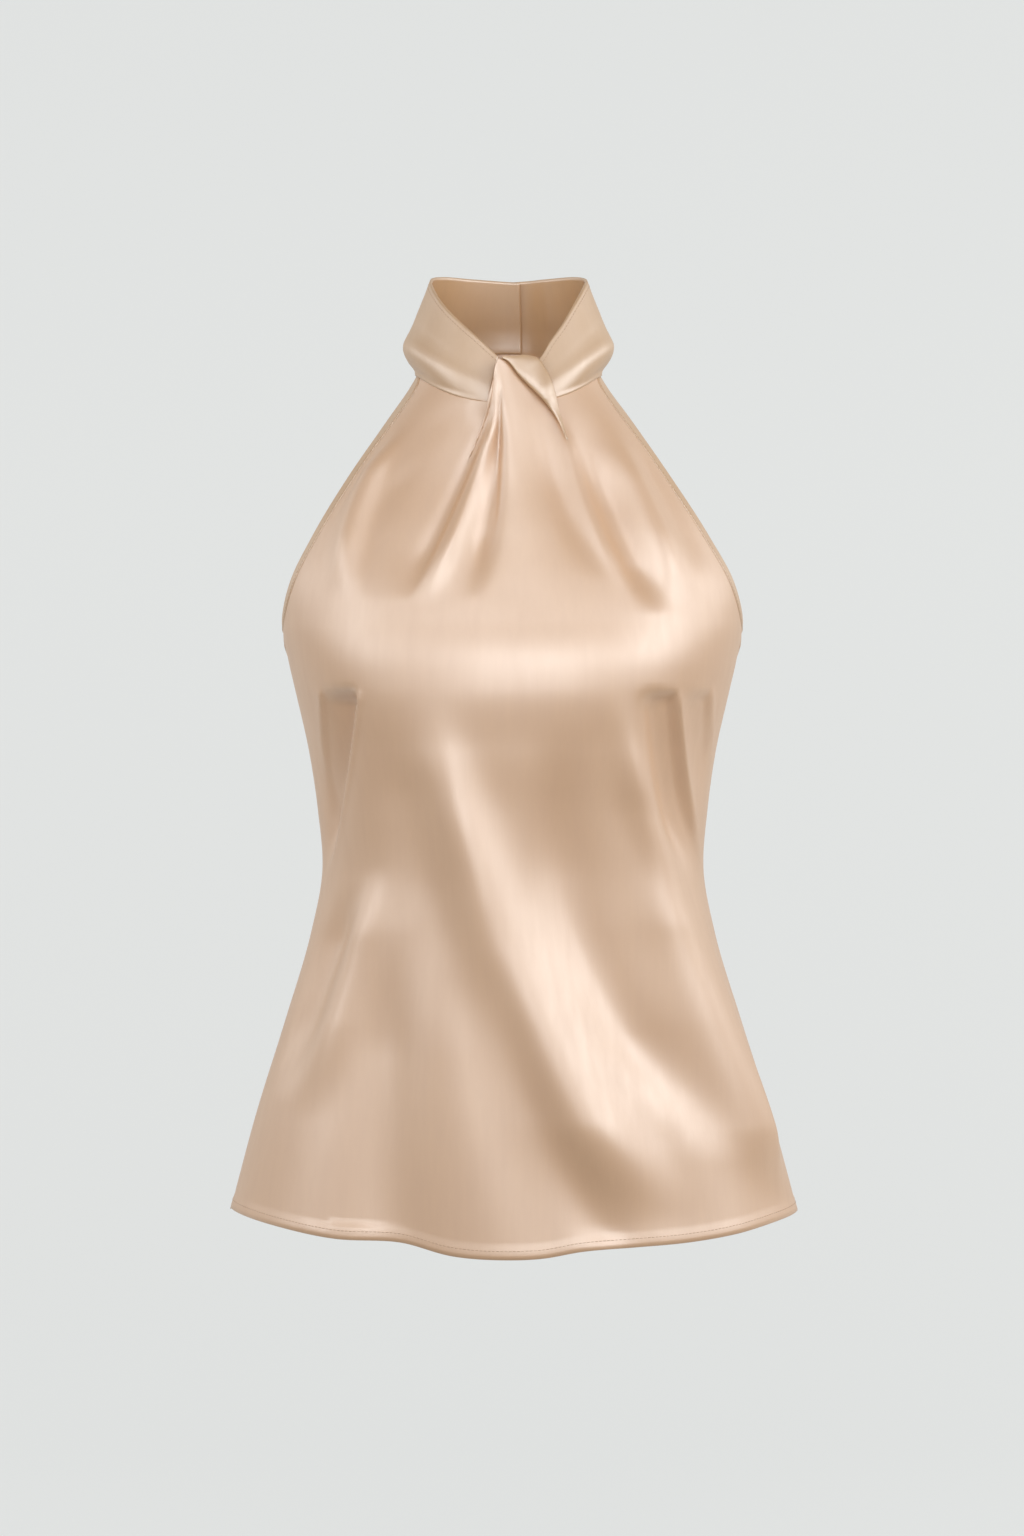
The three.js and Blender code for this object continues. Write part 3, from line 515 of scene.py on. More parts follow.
# %% [markdown]
# ## The front and the back
# The front is one piece from side seam to side seam, and the back is two, with a seam down the
# middle that is left open under the collar so that the top goes on over the head. Their columns run
# with the cloth: they start where the neckline is gathered and fan out to the full width, as the
# threads of a gathered front do. Rows crowd towards the underarm, where the armhole turns. The hem
# is a turn of the same cloth, so it is a slight step in the sheet and no piece of its own.

# %% Lay out a panel
PANEL_CLOTH = 0.7
HEM_TURN = 6.5
HEM_RISE = 0.45
HEM_STEP = 1.2
FRONT_COLUMNS, BACK_COLUMNS = 210, 100
ARMHOLE_ROWS, LOWER_ROWS = 66, 130
EVEN_COLUMNS = 0.35
# folds die away over this share of the width beside a seam
CALM_EDGE = 0.06


def spacing(columns, start):
    """Places of the columns, closer together towards the side seams."""
    s = np.linspace(start, 1, columns + 1)
    return EVEN_COLUMNS * s + (1 - EVEN_COLUMNS) * np.sin(s * math.pi / 2)


def panel_grid(face, shares):
    """Outer points of a panel at shares of its width, from the neck down to the hem."""
    edges = np.array([binding_edge(face, share, BINDING_WIDTH + SEAM_GAP * (3 - 2 * ease(share / 0.3)))
                      for share in np.arange(ARMHOLE_ROWS + 1) / ARMHOLE_ROWS])
    half, height = edges[:, 0], edges[:, 2]
    top_x, top_z = top_edge(face, shares)
    calm = ease((1 - np.abs(shares)) / CALM_EDGE)
    down = (height[0] - height) / (height[0] - height[-1])
    upper_x = shares * half[:, None] + (top_x - shares * half[0]) * (1 - down[:, None])
    upper_z = height[:, None] + (top_z - height[0]) * (1 - down[:, None]) ** 1.5
    hem = HEM_HEIGHT - hem_drop[face](shares)
    lower = np.linspace(0, 1, LOWER_ROWS + 1)[1:, None] ** 0.92
    lower_z = mix(height[-1], hem, lower)
    lower_x = shares * mix(half[-1], reach(face, lower_z), np.clip(lower / 0.04, 0, 1))
    x, z = np.vstack([upper_x, lower_x]), np.vstack([upper_z, lower_z])
    above_hem = z - hem
    turned = HEM_RISE * ease(1 - (above_hem - HEM_TURN) / HEM_STEP)
    return panel_point(face, x, z, calm, turned)


front_grid = panel_grid("front", spacing(FRONT_COLUMNS, -1))
front_body = sheet("front_body_cloth", front_grid, PANEL_CLOTH)
print("front:", len(front_body.data.polygons), "faces")

# %% The two halves of the back
def back_half(side):
    facing = -1 if side == "left" else 1
    grid = panel_grid("back", facing * spacing(BACK_COLUMNS, 0))
    grid[:, 0, 0] += facing * SEAM_GAP / 2
    if side == "right":
        grid = grid[:, ::-1]
    return sheet(f"back_{side}_cloth", grid, PANEL_CLOTH), grid


back_left, back_left_grid = back_half("left")
back_right, back_right_grid = back_half("right")
print("each back half:", len(back_left.data.polygons), "faces")

# %% [markdown]
# ## The collar
# The collar is a strip folded double, so it is thick and soft: it swells out above its seam and then
# leans in to the folded rim. Its height falls from the sides to the twist, which gives the open V.
# It is made of rings turned about the neck and pushed out by one profile, and not of a bent strip,
# because it swells only at the sides and is nearly straight at the back and at the twist.

# %% Shape the collar
COLLAR_PROFILE = table("share out", [
    [0, 1], [0.045, 1.3], [0.13, 5.6], [0.21, 8.6], [0.285, 9.9], [0.33, 9.7], [0.38, 8.4],
    [0.46, 5.5], [0.54, 2.9], [0.625, 0.6], [0.71, -1.8], [0.79, -4], [0.88, -6.4], [1, -9.4],
])
COLLAR_RIM = table("angle height swell", [
    [-190, 72.6, 0.1], [-150, 74.2, 0.15], [-115, 73.5, 0.7], [-90, 69.5, 1], [-70, 60.5, 0.85],
    [-43, 40.3, 0.35], [-19.5, 20.1, 0.12], [-5.6, 7.7, 0], [0, 4, -0.1], [14, 0, -0.1],
    [23.5, 9.3, 0.1], [30, 19.6, 0.15], [39, 31, 0.25], [52, 47.3, 0.5], [70, 62, 0.85],
    [90, 69.5, 1], [115, 73.5, 0.7], [150, 74.2, 0.15], [190, 72.6, 0.1],
])
# angles where each half starts at the seam and at the rim, and where it ends behind the neck
COLLAR_HALVES = {"left": (-12.4, -7.2, -188.5), "right": (26.5, 19, 184.5)}
COLLAR_CLOTH = 2.4
COLLAR_SHEET = COLLAR_CLOTH - 0.3
LAP_START, LAP_FULL = 148, 167
LAP_LIFT = COLLAR_CLOTH + 3 * SEAM_GAP
SIDE_SPREAD, SIDE_WINDOW = 10, 26
COLLAR_COLUMNS, COLLAR_ROWS = 150, 40
collar_out = curve(COLLAR_PROFILE, "out")
rim_height, rim_swell = curve(COLLAR_RIM, "height"), curve(COLLAR_RIM, "swell")


def seam_radius(turn):
    """Distance from the neck's centre line to the neck seam, at angles from the front."""
    dx, dy = np.abs(np.sin(turn)), -np.cos(turn)
    low, high = np.full(turn.shape, 40.0), np.full(turn.shape, 100.0)
    for _ in range(30):
        r = (low + high) / 2
        z = neck_height(r * dy)
        inside = np.zeros(turn.shape, bool)
        for face, here in (("front", dy < 0), ("back", dy >= 0)):
            shape = (r * dx / reach(face, z)) ** section["power"](z) + (r * dy / section[face](z)) ** 2
            inside |= here & (shape < 1)
        low, high = np.where(inside, r, low), np.where(inside, high, r)
    return (low + high) / 2


def side_eased_radius(angle):
    """The seam's radius, averaged where the front's curve meets the back's at the sides."""
    spread = SIDE_SPREAD * (1 - ease(np.abs(np.abs(angle) - 90) / SIDE_WINDOW))
    around = [seam_radius(np.radians(angle + spread * step)) for step in np.linspace(-1, 1, 7)]
    return np.mean(around, axis=0)


def collar_point(angle, share):
    """A point on the collar's outside: angle from the front, share from the seam to the rim."""
    turn = np.radians(angle)
    seam = side_eased_radius(angle)
    low = neck_height(-seam * np.cos(turn))
    lean = mix(COLLAR_PROFILE["out"][0], COLLAR_PROFILE["out"][-1], share)
    out = mix(lean, collar_out(share), rim_swell(angle))
    lap = ease((angle - LAP_START) / (LAP_FULL - LAP_START)) * LAP_LIFT
    radius = seam + out + lap
    z = mix(low, rim_height(angle), share)
    return np.stack([section["middle"](z) + radius * np.sin(turn), -radius * np.cos(turn), z], axis=-1)


def collar_half(side):
    seam_start, rim_start, end = COLLAR_HALVES[side]
    share = np.linspace(1, 0, COLLAR_ROWS + 1)[:, None]
    angle = mix(mix(seam_start, rim_start, share), end, np.linspace(0, 1, COLLAR_COLUMNS + 1))
    if side == "left":
        angle = angle[:, ::-1]
    grid = collar_point(angle, share + 0 * angle)
    return sheet(f"collar_{side}_cloth", grid, COLLAR_SHEET), grid


collar_left, collar_left_grid = collar_half("left")
collar_right, collar_right_grid = collar_half("right")
print("collar halves:", len(collar_left.data.polygons), "faces each")

# %% [markdown]
# ## The leaf of the twist
# Where the right half of the collar crosses the front, its cloth turns over and shows as a pointed
# leaf. Its two edges are drawn from the neckline down to the tip, and it lies on whatever is under
# it, arched in the middle, so it can't sink into the fold below.

# %% Turn the leaf over the twist
TWIST_LEAF = table("share leftX leftZ rightX rightZ crown", [
    [0, -4.2, 6.6, -3.2, 8.2, 0],
    [0.12, -0.7, 4.6, 3.9, 8.8, 1.2],
    [0.25, 2.9, 0.6, 12.7, 9.6, 2.2],
    [0.37, 7.1, -5.2, 21.2, 7.2, 3],
    [0.5, 14.1, -12.6, 27.2, -1.6, 3.2],
    [0.62, 20.8, -19.3, 30.7, -9.9, 3],
    [0.75, 27.4, -27.1, 33.5, -19.6, 2.4],
    [0.87, 34, -37, 36.4, -33.4, 1.4],
    [1, 40.2, -51, 41, -50, 0.3],
])
LEAF_CLOTH = 0.9
LEAF_LIFT = 2.9
# how softly the leaf passes from the panel to the collar under it
LEAF_BLEND = 3
LEAF_ROWS, LEAF_COLUMNS = 91, 31
leaf_edge = {name: curve(TWIST_LEAF, name) for name in TWIST_LEAF}


def depth_under_leaf(x, z):
    """Depth of whatever lies under the leaf: the folded panel below, the collar above."""
    panel = plain_depth("front", x, z) + fold_sum(FOLDS["front"], x, z)
    angle = np.degrees(np.arcsin(np.clip(x / NECK_RADIUS, -1, 1)))
    low = neck_height(-seam_radius(np.radians(angle)) * np.cos(np.radians(angle)))
    share = (z - low) / (rim_height(angle) - low)
    collar = -collar_point(angle, np.clip(share, 0, 1))[..., 1]
    collar = mix(panel, collar, ease((share + 0.5) / 0.4))
    apart = panel - collar
    return (panel + collar + np.sqrt(apart * apart + LEAF_BLEND ** 2)) / 2 - LEAF_BLEND / 5


down = np.linspace(0, 1, LEAF_ROWS)[:, None]
across = np.linspace(0, 1, LEAF_COLUMNS)[None, :]
leaf_x = mix(leaf_edge["leftX"](down), leaf_edge["rightX"](down), across)
leaf_z = mix(leaf_edge["leftZ"](down), leaf_edge["rightZ"](down), across)
arch = leaf_edge["crown"](down) * np.sqrt(np.clip(1 - (2 * across - 1) ** 2, 0, 1))
leaf_depth = depth_under_leaf(leaf_x, leaf_z) + LEAF_LIFT + arch
leaf_grid = np.stack([leaf_x + section["middle"](leaf_z), -leaf_depth, leaf_z], axis=-1)
twist_leaf = sheet("twist_leaf_cloth", leaf_grid, LEAF_CLOTH)
print("leaf:", len(twist_leaf.data.polygons), "faces")

# %% [markdown]
# ## The armhole bindings
# Each armhole is edged with one folded strip that starts under the front of the collar, passes
# below the arm and ends under the back of the collar. A curve with a bevel would twist where the
# cloth turns under the arm, so it is lofted from rings of points set square to the cloth, a little
# proud of the panel, with a soft fold at its outer edge.

# %% Loft a binding
# proud and cloth are in millimetres; step and girth lay the strip out flat, in metres
BINDING = {"proud": 0.4, "cloth": 1.6, "stations": 90, "step": 0.002, "girth": 0.02}


def binding_places():
    """Inner edge, outer edge and normal at stations from the front of the neck to the back."""
    stations = []
    for face in ("front", "back"):
        shares = np.arange(BINDING["stations"] + 1) / BINDING["stations"]
        part = [(binding_edge(face, share, BINDING_WIDTH), armhole_edge(face, share),
                 binding_normal(face, share)) for share in shares]
        stations += part if face == "front" else part[::-1][1:]
    return stations


def binding_ring(width):
    """The strip's cross section, as places in from its inner edge and heights over the cloth."""
    proud, low = BINDING["proud"], BINDING["proud"] - BINDING["cloth"]
    ring = [(0.1, proud - 0.35), (0.5, proud - 0.05)]
    ring += [(width * k, proud) for k in (0.15, 0.35, 0.55, 0.75)]
    ring += [(width - 1.0, proud - 0.05), (width - 0.3, proud - 0.35), (width, (proud + low) / 2)]
    ring += [(width - 0.3, low + 0.35), (width - 1.0, low), (width * 0.5, low)]
    return ring + [(0.3, low), (0.1, low + 0.3)]


def armhole_binding(side):
    flip = -1 if side == "left" else 1
    rings = []
    for inner, outer, normal in binding_stations:
        width = np.linalg.norm(outer - inner)
        into = (outer - inner) / width
        ring = binding_ring(width)
        points = [inner + into * across + normal * lift for across, lift in ring]
        rings.append([(flip * p[0] + section["middle"](p[2]), p[1], p[2]) for p in points])
    sides = len(rings[0])
    faces = []
    for j in range(len(rings) - 1):
        for i in range(sides):
            a, b = j * sides + i, j * sides + (i + 1) % sides
            faces.append((a, a + sides, b + sides, b))
    last = (len(rings) - 1) * sides
    faces += [tuple(range(sides)), tuple(last + i for i in reversed(range(sides)))]
    if side == "left":
        faces = [face[::-1] for face in faces]
    run = np.arange(len(rings))[:, None] * BINDING["step"] + np.zeros(sides)
    girth = np.linspace(0, BINDING["girth"], sides)[None, :] + np.zeros((len(rings), 1))
    uv = np.stack([girth, run], axis=-1).reshape(-1, 2)
    return new_piece(f"armhole_binding_{side}_strip", np.array(rings, float).reshape(-1, 3), faces, uv)


binding_stations = binding_places()
binding_left = armhole_binding("left")
binding_right = armhole_binding("right")
print("bindings:", len(binding_left.data.polygons), "faces each")

# %% [markdown]
# ## The two buttons at the back
# The halves of the collar lap over each other at the back of the neck and are held by two covered
# buttons. A covered button is a shallow dome with its cloth drawn round the edge, so its profile is
# turned like a lathe's and set square to the collar.

# %% Turn a covered button
BUTTON_PROFILE = [
    (0, 3.1), (1.6, 3.0), (3.0, 2.55), (3.9, 1.9), (4.5, 1.1), (4.6, 0.6), (4.3, 0.15), (3.6, 0),
]
BUTTON_SIDES = 40
BUTTON_SHARES = {"upper": 0.75, "lower": 0.375}
BUTTON_ASIDE = 2.2


def neck_button(place):
    angle = 180 - math.degrees(BUTTON_ASIDE / NECK_RADIUS)
    share = BUTTON_SHARES[place]

    def on_collar(turned, raised):
        return collar_point(np.array(angle + turned), np.array(share + raised))

    centre = on_collar(0, 0)
    right = unit(on_collar(1, 0) - on_collar(-1, 0))
    out = unit(np.cross(on_collar(0, 0.04) - on_collar(0, -0.04), right))
    out *= np.sign(out[1])
    top = np.cross(out, right)
    turns = np.linspace(0, 2 * math.pi, BUTTON_SIDES, endpoint=False)
    spokes = [right * math.cos(turn) + top * math.sin(turn) for turn in turns]
    points = [centre + out * (SEAM_GAP + BUTTON_PROFILE[0][1])]
    for radius, lift in BUTTON_PROFILE[1:]:
        points += [centre + out * (SEAM_GAP + lift) + spoke * radius for spoke in spokes]
    points.append(centre + out * SEAM_GAP)
    faces = []
    for k in range(BUTTON_SIDES):
        after = (k + 1) % BUTTON_SIDES
        faces.append((0, 1 + k, 1 + after))
        for r in range(len(BUTTON_PROFILE) - 2):
            a, b = 1 + r * BUTTON_SIDES + k, 1 + r * BUTTON_SIDES + after
            faces.append((a, a + BUTTON_SIDES, b + BUTTON_SIDES, b))
        last = 1 + (len(BUTTON_PROFILE) - 2) * BUTTON_SIDES
        faces.append((last + after, last + k, len(points) - 1))
    return new_piece(f"neck_button_{place}_cover", points, faces)


button_upper = neck_button("upper")
button_lower = neck_button("lower")
print("button across:", 2 * max(radius for radius, lift in BUTTON_PROFILE), "mm")

# %% [markdown]
# ## Sewing on the cloth
# The hem, the armholes and the collar each have one line of stitches. Each line is read from the
# grid it is sewn through, at a set distance from its edge, so that it follows every fold.

# %% Lay the stitches
HEM_LINE = HEM_TURN - 0.6
COLLAR_LINE = 3.6
BINDING_LINE = 1.5
THREAD_LIFT = {"sheet": 0.06, "binding": 0.04}


def line_on(grid, from_row, distance):
    """The line on a grid at a distance from its first or last row, and the normals there."""
    normal = grid_normals(grid)
    if from_row == "last":
        grid, normal = grid[::-1], normal[::-1]
    gone = run_length(grid)
    columns = range(grid.shape[1])
    line = [read(grid[:, i], gone[:, i], distance) for i in columns]
    return np.array(line), np.array([read(normal[:, i], gone[:, i], distance) for i in columns])


def sew(name, grid, from_row, distance):
    line, up = line_on(grid, from_row, distance)
    return stitches(name, line + up * THREAD_LIFT["sheet"], up)


def sew_binding(side):
    flip = -1 if side == "left" else 1
    line, up = [], []
    for inner, outer, normal in binding_stations:
        into = (outer - inner) / np.linalg.norm(outer - inner)
        p = inner + into * BINDING_LINE + normal * (BINDING["proud"] + THREAD_LIFT["binding"])
        line.append([flip * p[0] + section["middle"](p[2]), p[1], p[2]])
        up.append([flip * normal[0], normal[1], normal[2]])
    return stitches(f"armhole_stitches_{side}", np.array(line), np.array(up))


hem_stitches = {
    "front_body": sew("hem_stitches_front", front_grid, "last", HEM_LINE),
    "back_left": sew("hem_stitches_back_left", back_left_grid, "last", HEM_LINE),
    "back_right": sew("hem_stitches_back_right", back_right_grid, "last", HEM_LINE),
}
collar_stitches = {
    "collar_left": sew("collar_stitches_left", collar_left_grid, "first", COLLAR_LINE),
    "collar_right": sew("collar_stitches_right", collar_right_grid, "first", COLLAR_LINE),
}
armhole_stitches = {
    "armhole_binding_left": sew_binding("left"),
    "armhole_binding_right": sew_binding("right"),
}
sewing = {**hem_stitches, **collar_stitches, **armhole_stitches}
print("stitch faces:", sum(len(line.data.polygons) for line in sewing.values()))

# %% [markdown]
# ## Satin
# Satin's long float threads lie side by side on the right side, so it shines along broad soft bands
# where it faces the light, and goes dark where it turns away. The threads themselves are far finer
# than a pixel, so they show only as faint streaks along the cloth. One node group makes those
# streaks from noise stretched along the warp, and the two satins and the thread share it. A metallic
# shader would tint the light. A deep plain colour under a strong pale gloss gives satin's nearly
# white lights and warm hollows.

# %% A group for the streaks of satin threads
# each streak's stretch along the three axes, size of noise, and detail
STREAKS = {
    "fine": ((1, 1, 0.035), 900, 3),
    "slub": ((1, 1, 0.12), 120, 4),
    "mottle": ((1, 1, 0.6), 22, 3),
}
COLOUR_RANGE = {"From_Min": 0.35, "From_Max": 0.65}
GLOSS_RANGE = {"From_Min": 0.3, "From_Max": 0.7, "To_Min": 0.47, "To_Max": 0.42}
MOTTLE_SHARE = 0.45
SLUB_SHARE = 0.5


def node(tree, kind, **inputs):
    made = tree.nodes.new(kind)
    for name, value in inputs.items():
        made.inputs[name.replace("_", " ")].default_value = value
    return made


def thread_group():
    tree = bpy.data.node_groups.new("satin threads", "ShaderNodeTree")
    for name, kind, default in (("Scale", "NodeSocketFloat", 1.0), ("Depth", "NodeSocketFloat", 0.5),
                                ("Light thread", "NodeSocketColor", (1, 1, 1, 1)),
                                ("Dark thread", "NodeSocketColor", (0.5, 0.5, 0.5, 1))):
        socket = tree.interface.new_socket(name, in_out="INPUT", socket_type=kind)
        socket.default_value = default
    for name, kind in (("Color", "NodeSocketColor"), ("Roughness", "NodeSocketFloat"),
                       ("Height", "NodeSocketFloat")):
        tree.interface.new_socket(name, in_out="OUTPUT", socket_type=kind)
    link = tree.links.new
    start = tree.nodes.new("NodeGroupInput")
    end = tree.nodes.new("NodeGroupOutput")
    place = tree.nodes.new("ShaderNodeTexCoord")
    sized = tree.nodes.new("ShaderNodeVectorMath")
    sized.operation = "SCALE"
    link(place.outputs["Object"], sized.inputs[0])
    link(start.outputs["Scale"], sized.inputs["Scale"])
    streaks = {}
    for name, (stretch, scale, detail) in STREAKS.items():
        mapped = tree.nodes.new("ShaderNodeMapping")
        mapped.inputs["Scale"].default_value = stretch
        noise = node(tree, "ShaderNodeTexNoise", Scale=scale, Detail=detail, Roughness=0.6)
        link(sized.outputs[0], mapped.inputs["Vector"])
        link(mapped.outputs["Vector"], noise.inputs["Vector"])
        streaks[name] = noise.outputs["Fac"]

    def blend(share, first, second):
        mixed = tree.nodes.new("ShaderNodeMix")
        mixed.data_type = "FLOAT"
        mixed.inputs[0].default_value = share
        link(streaks[first], mixed.inputs[2])
        link(streaks[second], mixed.inputs[3])
        return mixed.outputs[0]

    ramp = node(tree, "ShaderNodeMapRange", **COLOUR_RANGE)
    link(blend(MOTTLE_SHARE, "slub", "mottle"), ramp.inputs["Value"])
    colour = tree.nodes.new("ShaderNodeMix")
    colour.data_type = "RGBA"
    link(ramp.outputs["Result"], colour.inputs[0])
    link(start.outputs["Dark thread"], colour.inputs[6])
    link(start.outputs["Light thread"], colour.inputs[7])
    gloss = node(tree, "ShaderNodeMapRange", **GLOSS_RANGE)
    link(streaks["slub"], gloss.inputs["Value"])
    height = tree.nodes.new("ShaderNodeMath")
    height.operation = "MULTIPLY"
    link(blend(SLUB_SHARE, "fine", "slub"), height.inputs[0])
    link(start.outputs["Depth"], height.inputs[1])
    link(colour.outputs[2], end.inputs["Color"])
    link(gloss.outputs["Result"], end.inputs["Roughness"])
    link(height.outputs[0], end.inputs["Height"])
    return tree


threads = thread_group()
print("satin threads:", len(threads.nodes), "nodes")


# %% Mix the satins and the thread
THREAD_RELIEF = 0.0003


def srgb(red, green, blue):
    """A colour in 0 to 255, as Blender's linear light."""
    return tuple(((c / 255 + 0.055) / 1.055) ** 2.4 for c in (red, green, blue)) + (1.0,)


def new_material(name):
    material = bpy.data.materials.new(name)
    material.use_nodes = True
    return material, material.node_tree, material.node_tree.nodes["Principled BSDF"]


def satin(name, light, dark, bump, **finish):
    material, tree, shader = new_material(name)
    link = tree.links.new
    made = tree.nodes.new("ShaderNodeGroup")
    made.node_tree = threads
    made.inputs["Depth"].default_value = 1.0
    made.inputs["Light thread"].default_value = light
    made.inputs["Dark thread"].default_value = dark
    relief = node(tree, "ShaderNodeBump", Strength=bump, Distance=THREAD_RELIEF)
    link(made.outputs["Color"], shader.inputs["Base Color"])
    link(made.outputs["Roughness"], shader.inputs["Roughness"])
    link(made.outputs["Height"], relief.inputs["Height"])
    link(relief.outputs["Normal"], shader.inputs["Normal"])
    for socket, value in finish.items():
        shader.inputs[socket.replace("_", " ")].default_value = value
    return material


SATIN_FINISH = {"Metallic": 0.0, "IOR": 2.6, "Specular_IOR_Level": 0.68, "Sheen_Weight": 0.05,
                "Sheen_Roughness": 0.5, "Sheen_Tint": srgb(250, 236, 222), "Anisotropic": 0.3}
satin_body = satin("champagne satin", srgb(213, 169, 126), srgb(207, 162, 119), 0.2, **SATIN_FINISH)
# the collar, leaf, bindings and buttons are the same satin as the body; their darker colours are painted
# shade
satin_trim = satin("champagne satin, darker for painted shade", srgb(201, 160, 112), srgb(194, 152, 104), 0.2,
                   **SATIN_FINISH)
thread_finish = satin("sewing thread", srgb(200, 168, 138), srgb(186, 152, 120), 0.5, Sheen_Weight=0.2)
print("materials:", [m.name for m in bpy.data.materials])

# %% [markdown]
# ## Where each piece belongs
# Each sheet takes the place of the solid it was shaped after, takes the finish listed beside it,
# and says how big its cloth was when it was cut flat.

# %% Dress the pieces and hide the solids they replace
PIECES = {
    "front_body": (front_body, satin_body, "satin"),
    "back_left": (back_left, satin_body, "satin"),
    "back_right": (back_right, satin_body, "satin"),
    "collar_left": (collar_left, satin_trim, "satin"),
    "collar_right": (collar_right, satin_trim, "satin"),
    "twist_leaf": (twist_leaf, satin_trim, "satin"),
    "armhole_binding_left": (binding_left, satin_trim, "satin_trim"),
    "armhole_binding_right": (binding_right, satin_trim, "satin_trim"),
    "neck_button_upper": (button_upper, satin_trim, "button_satin"),
    "neck_button_lower": (button_lower, satin_trim, "button_satin"),
}
for solid, (piece, material, slot) in PIECES.items():
    piece.data.materials.append(material)
    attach(piece, "root")
    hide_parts(solid)
for solid, piece in sewing.items():
    piece.data.materials.append(thread_finish)
    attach(piece, "root")
print("pieces:", len(PIECES) + len(sewing))


# %% Measure the cloth
def cloth_area(grid):
    a, b = np.diff(grid, axis=0)[:, :-1], np.diff(grid, axis=1)[:-1]
    return float(np.linalg.norm(np.cross(a, b), axis=-1).sum()) * MM * MM


def cloth_length(line):
    return float(np.linalg.norm(np.diff(line, axis=0), axis=-1).sum()) * MM


GRIDS = {"front": front_grid, "back left": back_left_grid, "back right": back_right_grid,
         "collar left": collar_left_grid, "collar right": collar_right_grid, "leaf": leaf_grid}
for name, grid in GRIDS.items():
    lengths = [round(cloth_length(line), 3) for line in (grid[:, grid.shape[1] // 2], grid[0], grid[-1])]
    print(name, round(cloth_area(grid), 4), "m2, down its middle, along its top and foot", lengths)

# %% [markdown]
# ## The studio
# The top floats upright in front of a pale seamless backdrop. Satin mirrors the shape of its lights,
# so five wide soft panels stand round the front as one band, a little above the top and stronger on
# its right. They lay bright bands where a fold faces forward and up, and the room's own light keeps
# the hollows warm. A single lamp would leave one hot spot at the bust and flat dark sides.

# %% Floor and backdrop
FLOOR_HEIGHT, FLOOR_FRONT, FLOOR_BACK = -0.95, -0.8, 1.2
BEND_RADIUS, PAPER_TOP, PAPER_HALF = 1.0, 4.0, 5.0
PAPER_GLOW = 0.77
GLOW_START, GLOW_FULL = -0.5, 0.6
PAPER_DIFFUSE = 0.3
BEND_STEPS = 16


def paper_finish(colour):
    """Matt paper with a painted glow at the back, as if lit from behind, and plain on the floor under the
    top.
    """
    material, tree, shader = new_material("pale paper")
    link = tree.links.new
    place = tree.nodes.new("ShaderNodeTexCoord")
    parts = tree.nodes.new("ShaderNodeSeparateXYZ")
    ramp = node(tree, "ShaderNodeMapRange", From_Min=GLOW_START, From_Max=GLOW_FULL)
    ramp.interpolation_type = "SMOOTHSTEP"
    lit = tree.nodes.new("ShaderNodeMix")
    lit.data_type = "RGBA"
    lit.inputs[6].default_value = (0, 0, 0, 1)
    lit.inputs[7].default_value = colour
    link(place.outputs["Object"], parts.inputs[0])
    link(parts.outputs["Y"], ramp.inputs["Value"])
    link(ramp.outputs["Result"], lit.inputs[0])
    link(lit.outputs[2], shader.inputs["Emission Color"])
    shader.inputs["Base Color"].default_value = tuple(c * PAPER_DIFFUSE for c in colour[:3]) + (1.0,)
    shader.inputs["Roughness"].default_value = 1.0
    shader.inputs["Specular IOR Level"].default_value = 0.0
    shader.inputs["Emission Strength"].default_value = PAPER_GLOW
    return material


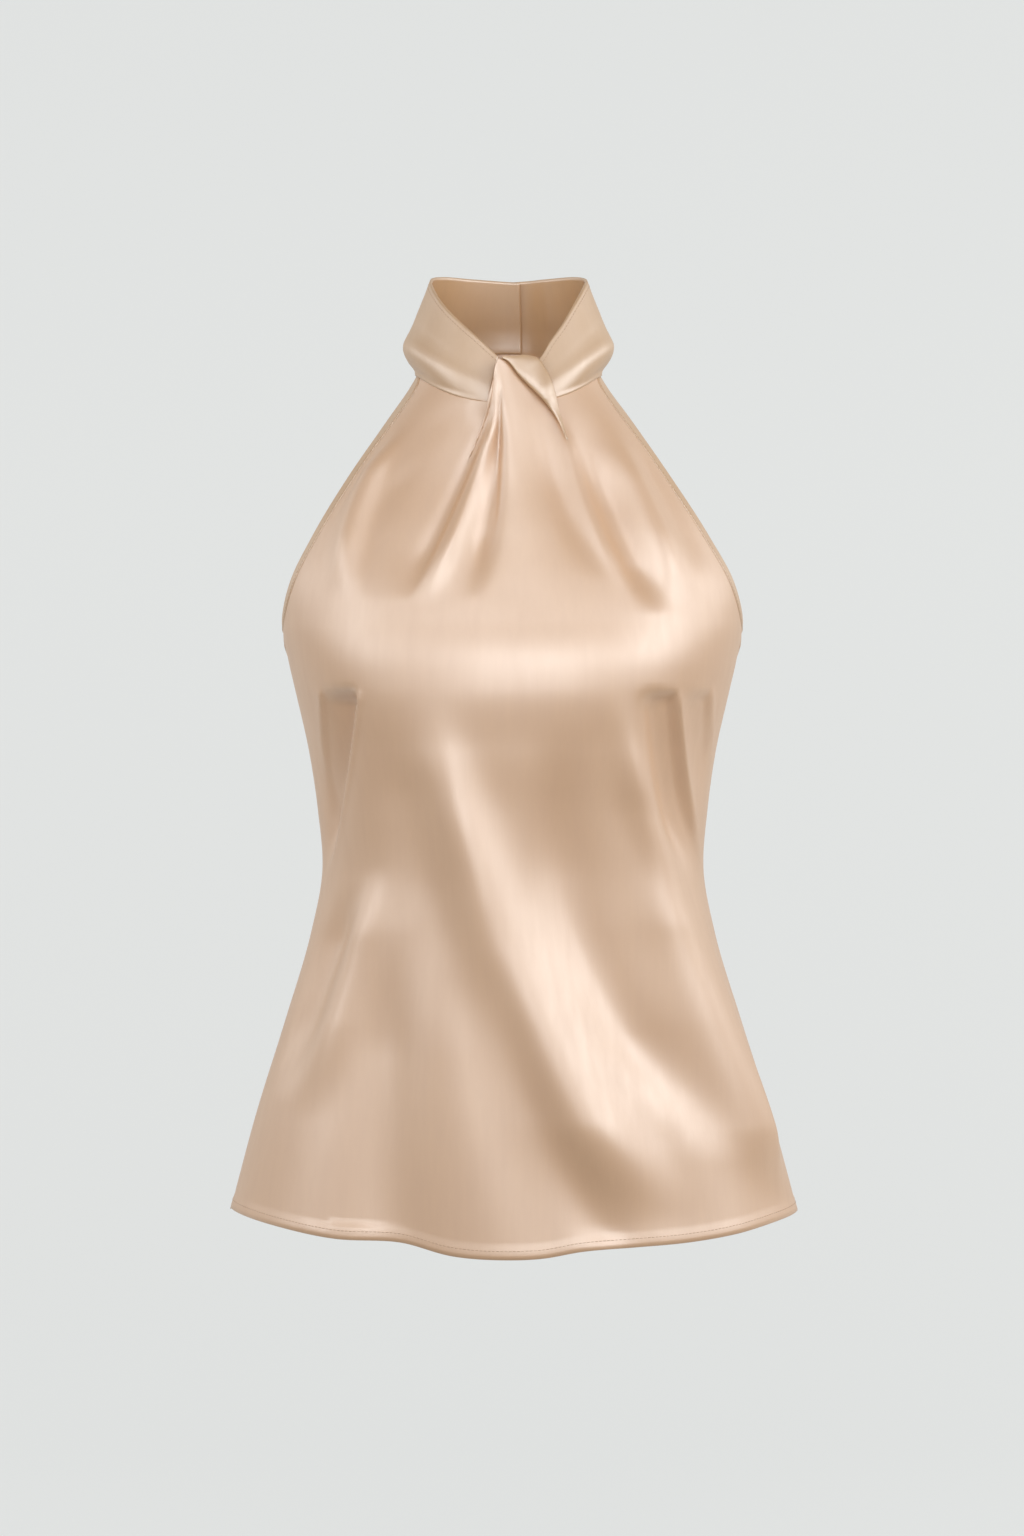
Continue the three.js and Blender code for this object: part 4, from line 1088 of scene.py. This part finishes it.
def backdrop():
    profile = [(FLOOR_FRONT, FLOOR_HEIGHT), (FLOOR_BACK, FLOOR_HEIGHT)]
    for k in range(1, BEND_STEPS + 1):
        turn = math.pi / 2 * k / BEND_STEPS
        profile.append((FLOOR_BACK + BEND_RADIUS * math.sin(turn),
                        FLOOR_HEIGHT + BEND_RADIUS * (1 - math.cos(turn))))
    profile.append((FLOOR_BACK + BEND_RADIUS, PAPER_TOP))
    points = [(x / MM, y / MM, z / MM) for y, z in profile for x in (-PAPER_HALF, PAPER_HALF)]
    faces = [(2 * k, 2 * k + 1, 2 * k + 3, 2 * k + 2) for k in range(len(profile) - 1)]
    paper = new_piece("studio_paper", points, faces)
    paper.data.materials.append(paper_finish(srgb(224, 226, 225)))
    return paper


backdrop()
print("paper from", FLOOR_HEIGHT, "to", PAPER_TOP, "m")


# %% Camera
# a long lens far away keeps the sides of the top almost parallel
scene = bpy.context.scene
view = bpy.data.cameras.new("studio camera")
view.lens = 104.2
view.sensor_width = 36
camera = bpy.data.objects.new("studio camera", view)
scene.collection.objects.link(camera)
camera.location = (0.0007, -3.2, -0.282)
camera.rotation_euler = (math.radians(90), 0, 0)
scene.camera = camera
print("camera at", tuple(round(v, 3) for v in camera.location))

# %% Lights
LIGHT_COLOUR = (1, 0.99, 0.98)
LIGHT_AIM = (0, 0, -0.3)
ROOM_LIGHT = 0.33
# each panel's place and size in metres, and its power in watts
LIGHTS = {
    "key": ((0.1, -3.0, 0.75), (2.6, 1.5), 44),
    "right side": ((2.6, -1.6, 0.75), (2.2, 1.5), 38),
    "left side": ((-2.6, -1.6, 0.75), (2.2, 1.5), 24),
    "right edge": ((2.9, 0.7, 0.8), (1.6, 1.3), 15),
    "left edge": ((-2.9, 0.7, 0.8), (1.6, 1.3), 9),
}
for name, (place, size, power) in LIGHTS.items():
    data = bpy.data.lights.new(name, "AREA")
    data.shape = "RECTANGLE"
    data.size, data.size_y = size
    data.energy = power
    data.color = LIGHT_COLOUR
    lamp = bpy.data.objects.new(name, data)
    scene.collection.objects.link(lamp)
    lamp.location = place
    lamp.rotation_euler = (Vector(LIGHT_AIM) - Vector(place)).to_track_quat("-Z", "Y").to_euler()

world = bpy.data.worlds.new("studio room")
world.use_nodes = True
background = world.node_tree.nodes["Background"]
background.inputs["Color"].default_value = srgb(240, 240, 240)
background.inputs["Strength"].default_value = ROOM_LIGHT
scene.world = world
scene.view_settings.view_transform = "Standard"
scene.view_settings.look = "None"
print("lights:", list(LIGHTS))
